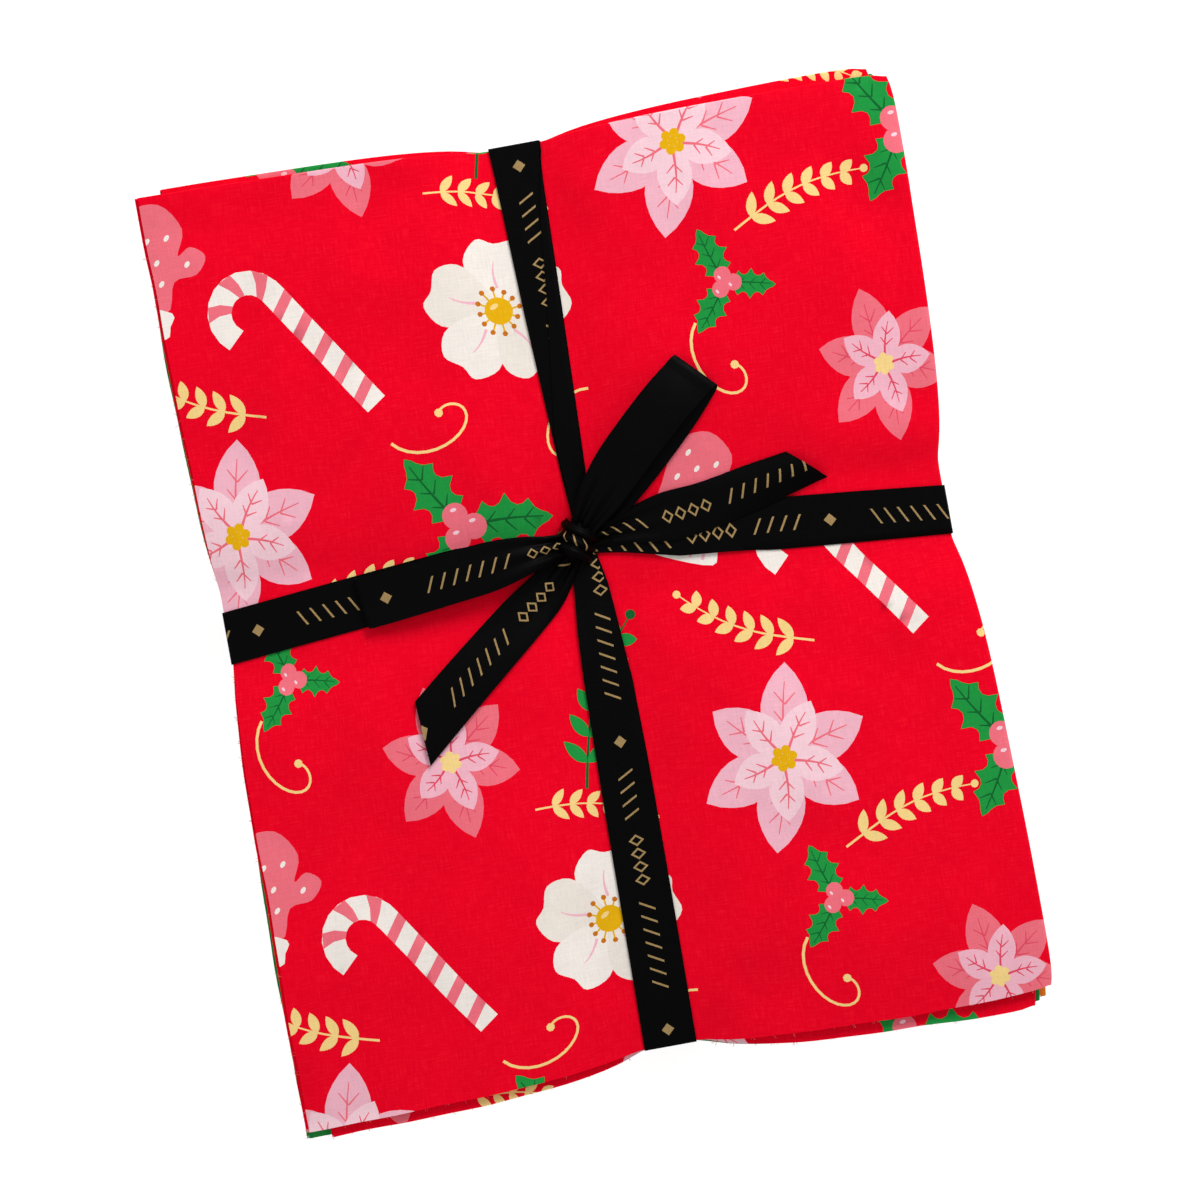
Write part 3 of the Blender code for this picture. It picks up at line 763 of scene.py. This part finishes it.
# The raw edges. Nothing is hemmed: the cloths are cut, so along their free edges a few short
# ends of thread stand out, in the cloth's own dye with the undyed core showing.
THREAD_SPACING = 6.0
THREAD_SHARE = 0.45
THREAD_LENGTH = 1.1
THREAD_THICK = 0.13
THREAD_SEED = 5
UNDYED = (0.86, 0.80, 0.74)
UNDYED_SHARE = 0.25
CLEAR_OF_BAND = 2.0
THREADS_FROM = 2


def raw_edges(first):
    """A mesh of lines along the cut edges, with the way out and the dye at each point."""
    u = np.concatenate(cut_places(PLAIN_X, PLAIN_X, -HALF_X, FOLD_X, CUT_WIDTH))
    v = np.concatenate(cut_places(PLAIN_Y, PLAIN_Y, -HALF_Y, FOLD_Y, CUT_LENGTH))
    places, ways, dyes, links = [], [], [], []
    for number, values in enumerate(FAT_QUARTERS[first - 1:], start=first):
        row = dict(zip(COLUMNS, values))
        core = np.array(dye(row["ground"])) * (1 - UNDYED_SHARE) + np.array(UNDYED) * UNDYED_SHARE
        for edge_u, edge_v, inward in ((0, v, (1, 0)), (CUT_WIDTH, v, (-1, 0)),
                                       (u, 0, (0, 1)), (u, CUT_LENGTH, (0, -1))):
            line = np.stack(np.broadcast_arrays(edge_u, edge_v), -1).astype(float)
            edge = lay_cotton(line, 0.0, number, row)
            way = edge - lay_cotton(line + inward, 0.0, number, row)
            start = sum(len(done) for done in places)
            clear = np.minimum(np.abs(edge[:, 0] - LONG_X) - LONG_FLAT,
                               np.abs(edge[:, 1] - CROSS_Y) - CROSS_FLAT) > CLEAR_OF_BAND
            links += [(start + index, start + index + 1) for index in range(len(line) - 1)
                      if clear[index] and clear[index + 1]]
            places.append(edge)
            ways.append(way / np.linalg.norm(way, axis=1)[:, None])
            dyes.append(np.tile((*core, 1.0), (len(line), 1)))
    mesh = bpy.data.meshes.new("raw_edges")
    mesh.from_pydata((np.concatenate(places) * MM).tolist(), links, [])
    outward = mesh.attributes.new("outward", "FLOAT_VECTOR", "POINT")
    outward.data.foreach_set("vector", np.concatenate(ways).astype(np.float32).reshape(-1))
    dyed = mesh.attributes.new("dye", "FLOAT_COLOR", "POINT")
    dyed.data.foreach_set("color", np.concatenate(dyes).astype(np.float32).reshape(-1))
    return mesh


def thread_tree():
    """Geometry nodes that set short bent ends of thread along lines, some left out."""
    tree = bpy.data.node_groups.new("loose_threads", "GeometryNodeTree")
    tree.interface.new_socket("Edges", in_out="INPUT", socket_type="NodeSocketGeometry")
    for label, kind in (("Spacing", "Float"), ("Share", "Float"), ("Length", "Float"),
                        ("Thickness", "Float"), ("Seed", "Int"), ("Material", "Material")):
        tree.interface.new_socket(label, in_out="INPUT", socket_type="NodeSocket" + kind)
    tree.interface.new_socket("Threads", in_out="OUTPUT", socket_type="NodeSocketGeometry")
    given = add_node(tree, "NodeGroupInput").outputs
    lines = add_node(tree, "GeometryNodeMeshToCurve", {"Mesh": given["Edges"]}).outputs[0]
    places = add_node(tree, "GeometryNodeCurveToPoints", {"Curve": lines, "Length": given["Spacing"]},
                      mode="LENGTH").outputs["Points"]
    kept = add_node(tree, "FunctionNodeRandomValue", {"Probability": given["Share"], "Seed": given["Seed"]},
                    data_type="BOOLEAN").outputs[3]
    bends = [add_node(tree, "ShaderNodeVectorMath", {0: place, "Scale": given["Length"]},
                      operation="SCALE").outputs[0]
             for place in ((-0.25, 0.0, 0.0), (0.55, 0.0, 0.05), (1.0, 0.0, 0.4))]
    core = add_node(tree, "GeometryNodeCurveQuadraticBezier", {"Resolution": 3, "Start": bends[0],
                    "Middle": bends[1], "End": bends[2]}).outputs[0]
    ring = add_node(tree, "GeometryNodeCurvePrimitiveCircle", {"Resolution": 3,
                    "Radius": sums(tree, "MULTIPLY", given["Thickness"], 0.5)}).outputs[0]
    thread = add_node(tree, "GeometryNodeCurveToMesh", {"Curve": core, "Profile Curve": ring,
                      "Fill Caps": True}).outputs[0]
    outward = add_node(tree, "GeometryNodeInputNamedAttribute", {"Name": "outward"},
                       data_type="FLOAT_VECTOR").outputs["Attribute"]
    facing = add_node(tree, "FunctionNodeAlignRotationToVector", {"Vector": outward}, axis="X").outputs[0]
    tilt = add_node(tree, "FunctionNodeRandomValue", {0: (-math.pi, -0.4, -0.9), 1: (math.pi, 0.4, 0.9),
                    "Seed": given["Seed"]}, data_type="FLOAT_VECTOR").outputs[0]
    tilt = add_node(tree, "FunctionNodeEulerToRotation", {0: tilt}).outputs[0]
    turned_out = add_node(tree, "FunctionNodeRotateRotation", {0: facing, 1: tilt},
                          rotation_space="LOCAL").outputs[0]
    sizes = add_node(tree, "FunctionNodeRandomValue", {2: 0.35, 3: 1.0, "Seed": given["Seed"]},
                     data_type="FLOAT").outputs[1]
    laid = add_node(tree, "GeometryNodeInstanceOnPoints", {"Points": places, "Selection": kept,
                    "Instance": thread, "Rotation": turned_out, "Scale": sizes}).outputs[0]
    real = add_node(tree, "GeometryNodeRealizeInstances", {0: laid}).outputs[0]
    done = add_node(tree, "GeometryNodeSetMaterial", {"Geometry": real, "Material": given["Material"]})
    add_node(tree, "NodeGroupOutput", {"Threads": done.outputs[0]})
    return tree


def thread_material():
    """Cotton yarn in the dye of its own cloth, a little uneven."""
    material, tree, shader = new_material("cut_thread")
    dyed = add_node(tree, "ShaderNodeAttribute", attribute_name="dye").outputs["Color"]
    place = add_node(tree, "ShaderNodeTexCoord").outputs["Object"]
    shade = remap(tree, noise(tree, place, 1500.0), 0.3, 0.7, 0.8, 1.1)
    tree.links.new(blend(tree, 1.0, dyed, shade, "MULTIPLY"), shader.inputs["Base Color"])
    shader.inputs["Roughness"].default_value = 0.9
    shader.inputs["Specular IOR Level"].default_value = 0.03
    return material


edge_lines = add_object("raw_edges", raw_edges(THREADS_FROM))
fringe = edge_lines.modifiers.new("loose_threads", "NODES")
fringe.node_group = thread_tree()
SETTINGS = {"Spacing": THREAD_SPACING * MM, "Share": THREAD_SHARE, "Length": THREAD_LENGTH * MM,
            "Thickness": THREAD_THICK * MM, "Seed": THREAD_SEED, "Material": thread_material()}
for socket in fringe.node_group.interface.items_tree:
    if socket.name in SETTINGS:
        fringe[socket.identifier] = SETTINGS[socket.name]
graph = bpy.context.evaluated_depsgraph_get()
thread_mesh = bpy.data.meshes.new_from_object(edge_lines.evaluated_get(graph),
                                              preserve_all_data_layers=True, depsgraph=graph)
bpy.data.objects.remove(edge_lines, do_unlink=True)
thread_mesh.shade_smooth()
loose_threads = add_object("loose_threads", thread_mesh)
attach(loose_threads, "root")

# The ribbon's bands. Black satin ribbon, five eighths of an inch wide, goes round the stack
# lengthwise and crosswise and crosses itself underneath. Towards the knot its edge folds
# under, which leaves the band narrower.
RIBBON_WIDTH = 15.9
RIBBON_THICK = 0.34
RIBBON_LIFT = 0.22
KNOT_X = -2.7
KNOT_Y = 19.3
PANEL_COLUMNS = 9
TUCK_COLUMNS = 5


def sheet_from_grid(name, grid, across, along, closed=False, worn=0.0):
    """A ribbon's sheet round a grid of middle points, stations by columns."""
    rows, columns = grid.shape[:2]
    if closed:
        run = np.roll(grid, -1, 0) - np.roll(grid, 1, 0)
    else:
        run = np.gradient(grid, axis=0)
    normal = np.cross(run, np.gradient(grid, axis=1))
    normal /= np.maximum(1e-9, np.linalg.norm(normal, axis=2))[:, :, None]
    front = (grid + normal * RIBBON_THICK / 2).reshape(-1, 3)
    back = (grid - normal * RIBBON_THICK / 2).reshape(-1, 3)
    flat = np.stack((np.broadcast_to(along[:, None], (rows, columns)), across), -1).reshape(-1, 2)
    spans = np.arange(rows if closed else rows - 1)
    near = (spans[:, None] * columns + np.arange(columns - 1)).reshape(-1)
    far = ((spans[:, None] + 1) % rows * columns + np.arange(columns - 1)).reshape(-1)
    faces = np.stack((near, near + 1, far + 1, far), 1)
    worn = np.broadcast_to(worn, (rows, columns)).reshape(-1)
    return make_sheet(name, flat, faces, front, back, worn=worn)


def travelled(middle):
    """Distance along a line of middle points."""
    return np.concatenate(((0,), np.cumsum(np.linalg.norm(np.diff(middle, axis=0), axis=1))))


# The marks: in each repeat a full diamond, then runs of slashes, open diamonds and slashes
# that lean the other way
MARK_REPEAT = 88.0
MARK_STEP = 4.0
MARK_LEAN = 0.55
MARK_LINE = 0.33
MARK_REACH = 2.3
MARK_RUNS = ((12.0, 28.0), (32.0, 48.0), (52.0, 80.0))
GEM_AT = 4.0
GEM_HALF = 1.9
OPEN_GEM_HALF = 1.45


def ribbon_material():
    """Woven satin, black, with a soft sheen and small gold marks printed along it."""
    material, tree, shader = new_material("ribbon_satin")
    place, u, v = cloth_place(tree)
    run = sums(tree, "MULTIPLY", part_of_step(tree, u, MARK_REPEAT * MM), MARK_REPEAT)
    side = sums(tree, "MULTIPLY", v, 1 / MM)
    aside = sums(tree, "ABSOLUTE", side)
    step = sums(tree, "MULTIPLY", part_of_step(tree, run, MARK_STEP), MARK_STEP)
    step = sums(tree, "SUBTRACT", step, MARK_STEP / 2)
    lean = sums(tree, "MULTIPLY", side, MARK_LEAN)
    from_gem = sums(tree, "ABSOLUTE", sums(tree, "SUBTRACT", run, GEM_AT))
    marks = sums(tree, "LESS_THAN", sums(tree, "ADD", from_gem, aside), GEM_HALF)
    open_gem = sums(tree, "ADD", sums(tree, "ABSOLUTE", step), sums(tree, "MULTIPLY", aside, 0.75))
    forms = (sums(tree, "ADD", step, lean), sums(tree, "SUBTRACT", open_gem, OPEN_GEM_HALF),
             sums(tree, "SUBTRACT", step, lean))
    for form, (start, end) in zip(forms, MARK_RUNS):
        drawn = sums(tree, "LESS_THAN", sums(tree, "ABSOLUTE", form), MARK_LINE)
        held = sums(tree, "MULTIPLY", sums(tree, "GREATER_THAN", run, start),
                    sums(tree, "LESS_THAN", run, end))
        marks = sums(tree, "MAXIMUM", marks, sums(tree, "MULTIPLY", drawn, held))
    marks = sums(tree, "MULTIPLY", marks, sums(tree, "LESS_THAN", aside, MARK_REACH))
    wrong = add_node(tree, "ShaderNodeAttribute", attribute_name="wrong_side").outputs["Fac"]
    marks = sums(tree, "MULTIPLY", marks, sums(tree, "LESS_THAN", wrong, 0.5))
    grain = stretched_noise(tree, place, 2600.0, 260.0)
    black = blend(tree, grain, (0.0006, 0.0006, 0.0006), (0.0016, 0.0015, 0.0016))
    gold = blend(tree, 1.0, dye("#A88B5C"), remap(tree, grain, 0.3, 0.7, 0.75, 1.0), "MULTIPLY")
    tree.links.new(blend(tree, marks, black, gold), shader.inputs["Base Color"])
    tree.links.new(remap(tree, grain, 0.3, 0.7, 0.42, 0.6), shader.inputs["Roughness"])
    bump = add_node(tree, "ShaderNodeBump", {"Height": grain, "Strength": 0.25, "Distance": 0.0001})
    tree.links.new(bump.outputs[0], shader.inputs["Normal"])
    shader.inputs["Specular IOR Level"].default_value = 0.04
    return material


SATIN = ribbon_material()


def finish_ribbon(piece):
    """What every piece of the ribbon shares: its satin and its place in the frame."""
    piece.data.materials.append(SATIN)
    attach(piece, "root")
    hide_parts("ribbon")


BAND_STEP = 3.0
SIDE_SHARES = np.linspace(0, 1, 9)[1:-1]


def round_the_stack(low, high):
    """Stations of a band round the stack: place, height and the way out."""
    lines = lines_between(((low, 0), (high, BAND_STEP)))
    middle = len(lines) // 2
    path = [(line, 0.0, 0.0, -1.0) for line in lines[middle:-1]]
    turns = np.radians(np.linspace(0, 90, 4))
    for place, height, start in ((high, 0.0, -90), (high, STACK, 0), (low, STACK, 90), (low, 0.0, 180)):
        for turn in turns:
            angle = math.radians(start) + turn
            path.append((place, height, math.cos(angle), math.sin(angle)))
        if start == -90:
            path += [(high, STACK * share, 1.0, 0.0) for share in SIDE_SHARES]
        if start == 0:
            path += [(line, STACK, 0.0, 1.0) for line in lines[-2:0:-1]]
        if start == 90:
            path += [(low, STACK * share, -1.0, 0.0) for share in SIDE_SHARES[::-1]]
    path += [(line, 0.0, 0.0, -1.0) for line in lines[1:middle]]
    return np.array(path)


# How far the folded edge lies from the rest, the narrowest place that still shows marks,
# and the soft pleats that rise towards the knot
FOLD_GAP = 0.42
MARKS_SHOW_FROM = 10.4
PLEAT_RISE = 0.3
PLEAT_REACH = 16.0


def folded_edge(shown, tuck_side, over):
    """Across a band that shows this width: places, heights and flat places.

    What does not show of the ribbon's width is folded at one edge: over the rest where
    over is 1, and under it where over is -1.
    """
    tuck = max(0.4, min(RIBBON_WIDTH - shown, 0.92 * shown))
    folded = min(1.0, (tuck - 0.4) / 2)
    angle = math.pi * folded
    travel = np.concatenate((np.linspace(0, shown, PANEL_COLUMNS),
                             shown + tuck * np.linspace(0.12, 1, TUCK_COLUMNS)))
    past = np.maximum(0.0, travel - shown)
    place = np.minimum(travel, shown) + past * math.cos(angle) - shown / 2
    height = over * np.minimum(FOLD_GAP, past) * math.sin(min(angle, math.pi / 2))
    height = height + FOLD_GAP * folded * (1 - over) / 2
    return tuck_side * place, height, tuck_side * (travel - RIBBON_WIDTH / 2)


def band(name, along_y, low, high, edges, tuck_side, lift_under):
    """One band round the stack. Its edges are a table of places on top, as measured."""
    table = np.array(edges)
    grid, across, bare = [], [], []
    for place, height, out, up in round_the_stack(low, high):
        sides = [np.interp(place, table[:, 0], table[:, column]) for column in (1, 2)]
        if not (up == 1.0 and low < place < high):
            share = (place - low) / (high - low)
            sides = [table[0, column] * (1 - share) + table[-1, column] * share for column in (1, 2)]
        from_knot = place - (KNOT_Y if along_y else KNOT_X)
        over = np.clip(from_knot / 6, -1, 1) if along_y and up == 1.0 else -1.0
        aside, lift, flat = folded_edge(sides[1] - sides[0], tuck_side, over)
        if up == 1.0:
            pleats = 1 + np.cos(0.9 * aside + 0.4 * tuck_side)
            lift = lift + PLEAT_RISE * math.exp(-abs(from_knot) / PLEAT_REACH) * pleats
        lift = lift + RIBBON_THICK / 2 + (lift_under if up == -1.0 else RIBBON_LIFT)
        middle = (sides[0] + sides[1]) / 2
        first = place + lift * out
        if along_y:
            grid.append(tied(middle + aside, first, height + lift * up))
        else:
            grid.append(tied(first, middle + aside, height + lift * up))
        across.append(flat)
        folded_away = along_y and up == 1.0 and from_knot > 0 and sides[1] - sides[0] < MARKS_SHOW_FROM
        bare.append(np.where(np.arange(len(flat)) > PANEL_COLUMNS - 2, 1.0, float(folded_away)))
    grid, across, bare = np.array(grid), np.array(across), np.array(bare)
    bare[[0, -1]] = 1.0
    if (tuck_side > 0) != along_y:
        grid, across, bare = grid[:, ::-1], across[:, ::-1], bare[:, ::-1]
    along = travelled(grid[:, PANEL_COLUMNS // 2])
    piece = sheet_from_grid(name, grid, across, along, True, bare)
    finish_ribbon(piece)
    return piece


# The bands' edges on top, by the place along each: they run straight up to the knot, where
# they gather
LONG_EDGES = ((-139.7, -10.1, 5.4), (-57, -9.0, 6.0), (-24, -8.3, 6.2), (-8, -7.5, 5.2), (5, -6.2, 4.2),
              (14, -5.6, 2.4), (19, -4.2, 0.8), (26, -2.9, 1.8), (38, -3.8, 3.4), (90, -6.2, 5.4),
              (132, -7.6, 6.8), (139.7, -8.0, 7.2))
CROSS_EDGES = ((-114.3, 1.5, 16.9), (-40, 8.0, 23.3), (-14, 12.9, 22.4), (-3, 15.5, 21.7), (10, 13.5, 20.9),
               (27, 9.2, 22.4), (58, 6.3, 21.4), (114.3, 1.4, 16.0))
band("band_long", True, -HALF_Y, HALF_Y, LONG_EDGES, 1, 0.62)
band("band_cross", False, -HALF_X, HALF_X, CROSS_EDGES, -1, 0.22)

# The bow: two pressed loops and two free ends of the same ribbon, tied in a knot over the
# crossing. The ribbon gathers in pleats where it goes into the knot.
BOW_COLUMNS = 15


def smooth_rows(rows, steps):
    """A short table made finer along a smooth curve through its rows."""
    table = np.array(rows, float)
    last = len(table) - 1
    out = []
    for index in range(last):
        out += curve_between(table[max(index - 1, 0)], table[index], table[index + 1],
                             table[min(index + 2, last)], steps)
    return np.array(out + [table[-1]])


def bow_piece(name, end, route, slant=0.0, start_mark=0.0):
    """A strip of the bow towards a point in plan.

    Each row of its route is: distance from the knot, height over the cloth, half width,
    how deep its pleats are, how far it lies to the side, and how far its edges curl down.
    """
    heading = np.array((end[0] - KNOT_X, end[1] - KNOT_Y))
    heading /= np.hypot(*heading)
    share = np.linspace(-1, 1, BOW_COLUMNS)
    reach, lift, half, pleat, aside, curl = (route[:, column][:, None] for column in range(6))
    ending = np.linspace(0, 1, len(route))[:, None] ** 6
    reach = reach + slant * share[None, :] * ending
    beside = aside + half * share[None, :]
    high = lift + pleat * np.cos(2.5 * math.pi * share[None, :] + 0.6)
    high = high + (0.25 + curl) * (1 - share[None, :] ** 2)
    x = KNOT_X + reach * heading[0] - beside * heading[1]
    y = KNOT_Y + reach * heading[1] + beside * heading[0]
    grid = tied(x, y, STACK + high)
    along = travelled(grid[:, BOW_COLUMNS // 2]) + start_mark
    across = np.broadcast_to(share * RIBBON_WIDTH / 2, grid.shape[:2])
    piece = sheet_from_grid(name, grid, across, along)
    finish_ribbon(piece)
    return piece


def bow_loop(name, end, rows, start_mark, flip):
    """A loop: out along its lower strand, round a pressed tip, back along the upper one.

    Its rows by share of the length: height of the lower and of the upper strand, half
    width, pleat depth, and how far each strand lies to the left of the straight line.
    """
    length = math.hypot(end[0] - KNOT_X, end[1] - KNOT_Y)
    fine = smooth_rows(rows, 6)
    none = np.zeros(len(fine))
    lower = np.stack((fine[:, 0] * length, fine[:, 1], fine[:, 3], fine[:, 4], fine[:, 5], none), 1)
    upper = np.stack((fine[:, 0] * length, fine[:, 2], fine[:, 3], fine[:, 4], fine[:, 6], none), 1)
    low, high = lower[-1], upper[-1]
    turns = np.radians(np.linspace(-90, 90, 7))[1:-1]
    tip = []
    for turn in turns:
        share = (1 + math.sin(turn)) / 2
        tip.append((low[0] + (length - low[0]) * math.cos(turn), low[1] + (high[1] - low[1]) * share,
                    low[2], 0.0, low[4] + (high[4] - low[4]) * share, 0.0))
    route = np.concatenate((lower, np.array(tip), upper[::-1]))
    if flip:
        route = route[::-1]
    return bow_piece(name, end, route, start_mark=start_mark)


def bow_tail(name, end, rows, slant, start_mark):
    """A free end, cut on the slant; its rows are those of bow_piece by share of length."""
    length = math.hypot(end[0] - KNOT_X, end[1] - KNOT_Y)
    route = smooth_rows(rows, 7)
    route[:, 0] *= length
    return bow_piece(name, end, route, slant, start_mark)


TAIL_LEFT = ((0.03, 2.6, 3.2, 0.9, 0.8, 0.0), (0.12, 2.0, 4.6, 0.8, 1.8, 0.0),
             (0.24, 1.5, 6.4, 0.45, 2.3, 0.0), (0.38, 1.3, 7.3, 0.15, 1.7, 0.0),
             (0.55, 1.2, 7.6, 0.0, 1.1, 0.1), (0.78, 1.4, 7.8, 0.0, 0.4, 0.2),
             (1.0, 1.0, 7.9, 0.0, 0.0, 0.0))
TAIL_RIGHT = ((0.03, 2.6, 2.9, 0.9, 0.0, 0.0), (0.12, 2.0, 3.4, 0.8, -0.2, 0.0),
              (0.24, 1.5, 5.35, 0.45, -0.85, 0.0), (0.38, 1.3, 7.4, 0.15, -1.5, 0.1),
              (0.55, 1.2, 7.2, 0.0, -1.9, 0.6), (0.78, 1.2, 6.6, 0.0, -0.7, 1.8),
              (1.0, 0.8, 5.5, 0.0, 0.5, 3.0))
LOOP_LEFT = ((0.03, 2.4, 4.4, 2.9, 0.9, 0.0, 0.0), (0.12, 1.9, 5.4, 3.8, 0.8, 0.2, 0.2),
             (0.24, 1.6, 6.0, 5.8, 0.4, 0.0, 0.0), (0.40, 1.5, 5.8, 7.4, 0.12, 0.1, 0.1),
             (0.60, 1.5, 5.2, 7.7, 0.0, 0.0, 0.1), (0.80, 1.5, 4.2, 7.75, 0.0, -0.6, 0.1),
             (0.94, 1.5, 3.0, 7.75, 0.0, -0.8, 0.0))
LOOP_RIGHT = ((0.03, 2.4, 4.4, 3.2, 0.9, 0.0, 0.6), (0.12, 1.9, 5.6, 4.8, 0.8, -0.3, 1.4),
              (0.24, 1.6, 6.8, 6.6, 0.4, -0.6, 2.0), (0.40, 1.5, 7.2, 7.5, 0.12, -0.9, 2.6),
              (0.60, 1.5, 6.6, 7.7, 0.0, -1.3, 2.5), (0.80, 1.5, 5.0, 7.75, 0.0, -1.3, 1.9),
              (0.94, 1.5, 3.2, 7.75, 0.0, -0.8, 0.9))
bow_tail("tail_left", (-58.7, -29.6), TAIL_LEFT, 6.0, 20.0)
bow_loop("loop_left", (-70.3, 11.7), LOOP_LEFT, 34.0, True)
bow_tail("tail_right", (70.5, 28.9), TAIL_RIGHT, -5.3, 8.0)
bow_loop("loop_right", (41.6, 62.9), LOOP_RIGHT, 0.0, False)

# The knot: the ribbon's pleats pressed into a small round body, with one turn of ribbon
# laid over it on the slant.
KNOT_HEADING = 62.0
KNOT_LENGTH = 13.5
KNOT_BREADTH = 10.0
KNOT_FOOT = 0.7
KNOT_TOP = 7.0
WRAP_COLUMNS = 31
WRAP_START = 12.0


def knot_point(along, beside, height):
    """A point of the knot, whose own axis is turned on the stack."""
    angle = math.radians(KNOT_HEADING)
    x = KNOT_X + along * math.cos(angle) - beside * math.sin(angle)
    y = KNOT_Y + along * math.sin(angle) + beside * math.cos(angle)
    z = tied(KNOT_X, KNOT_Y, STACK)[2] + height
    return np.stack(np.broadcast_arrays(x, y, z), -1)


rings, sides = 9, 56
turn = np.linspace(0, 2 * math.pi, sides, endpoint=False)[None, :]
rise_share = np.linspace(0.0, 1.0, rings)[:, None]
body = np.sqrt(np.clip(1 - (rise_share * 0.98) ** 2.4, 0, 1))
body = body * (0.75 + 0.25 * np.sqrt(np.minimum(1, rise_share * 5)))
body = body * (1 + 0.05 * np.cos(11 * turn + 3 * rise_share) * (1 - rise_share))
knot_points = knot_point(body * KNOT_LENGTH / 2 * np.cos(turn), body * KNOT_BREADTH / 2 * np.sin(turn),
                         KNOT_FOOT + rise_share * (KNOT_TOP - KNOT_FOOT)).reshape(-1, 3)
knot_faces = []
for ring in range(rings - 1):
    for side in range(sides):
        after = (side + 1) % sides
        knot_faces.append((ring * sides + side, ring * sides + after,
                           (ring + 1) * sides + after, (ring + 1) * sides + side))
knot_faces += [tuple(range(sides))[::-1], tuple(range((rings - 1) * sides, rings * sides))]
knot_mesh = bpy.data.meshes.new("knot")
knot_mesh.from_pydata((knot_points * MM).tolist(), [], knot_faces)
knot_mesh.uv_layers.new(name="UVMap")
knot_mesh.shade_smooth()
knot = add_object("knot", knot_mesh)
knot.data.materials.append(SATIN)
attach(knot, "root")
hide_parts("ribbon")

angle = np.radians(np.linspace(4, 176, WRAP_COLUMNS))[:, None]
across = np.linspace(-1, 1, WRAP_COLUMNS)[None, :]
wrap_half = 5.15 - 0.7 * np.sin(angle)
pleats = 0.62 * np.cos(3 * math.pi * across + 0.5) * (1 - 0.35 * across ** 2)
wrap_grid = knot_point(across * wrap_half - 0.25 + 0.6 * np.cos(angle), (5.6 + pleats) * np.cos(angle),
                       0.6 + (KNOT_TOP + 0.5 + pleats) * np.sin(angle))
wrap_along = travelled(wrap_grid[:, WRAP_COLUMNS // 2]) + WRAP_START
wrap_across = np.broadcast_to(across * RIBBON_WIDTH / 2, wrap_grid.shape[:2])
wrap = sheet_from_grid("knot_wrap", wrap_grid, wrap_across, wrap_along)
finish_ribbon(wrap)

# The floor, the soft studio light and the camera, which looks straight down from above
# with the bundle turned a little to the left in its view. The floor glows, so that it comes
# out as white as in the photograph.
FLOOR_REACH = 60.0
FLOOR_GLOW = 0.84
FLOOR_LEVEL = -0.0004
floor_mesh = bpy.data.meshes.new("floor")
floor_mesh.from_pydata([(side_x * FLOOR_REACH, side_y * FLOOR_REACH, FLOOR_LEVEL)
                        for side_x, side_y in ((-1, -1), (1, -1), (1, 1), (-1, 1))], [], [(0, 1, 2, 3)])
floor = add_object("floor", floor_mesh)
paper, _, shader = new_material("white_paper")
shader.inputs["Base Color"].default_value = (0.36, 0.36, 0.36, 1)
shader.inputs["Roughness"].default_value = 0.9
shader.inputs["Emission Color"].default_value = (1, 1, 1, 1)
shader.inputs["Emission Strength"].default_value = FLOOR_GLOW
floor_mesh.materials.append(paper)

# The sky lights the bundle softly, and is as white as the floor where the camera sees it
SKY_LIGHT = 0.45
SKY_SEEN = 1.05
world = bpy.data.worlds.new("studio")
bpy.context.scene.world = world
world.use_nodes = True
sky = world.node_tree.nodes["Background"].inputs
sky["Color"].default_value = (1.0, 1.0, 1.0, 1.0)
seen = add_node(world.node_tree, "ShaderNodeLightPath").outputs["Is Camera Ray"]
strength = sums(world.node_tree, "MULTIPLY_ADD", seen, SKY_SEEN - SKY_LIGHT, SKY_LIGHT)
world.node_tree.links.new(strength, sky["Strength"])
LAMPS = (("key", (0.70, 1.00, 0.95), 0.7, 18.6), ("fill", (-0.8, -0.4, 1.2), 1.1, 3.4))
for name, place, size, power in LAMPS:
    lamp = bpy.data.lights.new(name, "AREA")
    lamp.shape = "SQUARE"
    lamp.size = size
    lamp.energy = power
    softbox = add_object(name, lamp)
    softbox.location = place
    softbox.rotation_euler = (-Vector(place)).to_track_quat("-Z", "Y").to_euler()

VIEW_WIDTH = 0.3625
VIEW_TURN = 10.3
CAMERA_HEIGHT = 1.35
FOCUS_HEIGHT = 0.03
SENSOR_WIDTH = 36.0
camera_data = bpy.data.cameras.new("camera")
camera = add_object("camera", camera_data)
camera_data.sensor_width = SENSOR_WIDTH
camera_data.lens = SENSOR_WIDTH * (CAMERA_HEIGHT - FOCUS_HEIGHT) / VIEW_WIDTH
camera.location = (0.0009, 0.0004, CAMERA_HEIGHT)
camera.rotation_euler = (0.0, 0.0, -math.radians(VIEW_TURN))
bpy.context.scene.camera = camera
bpy.context.scene.view_settings.view_transform = "Standard"
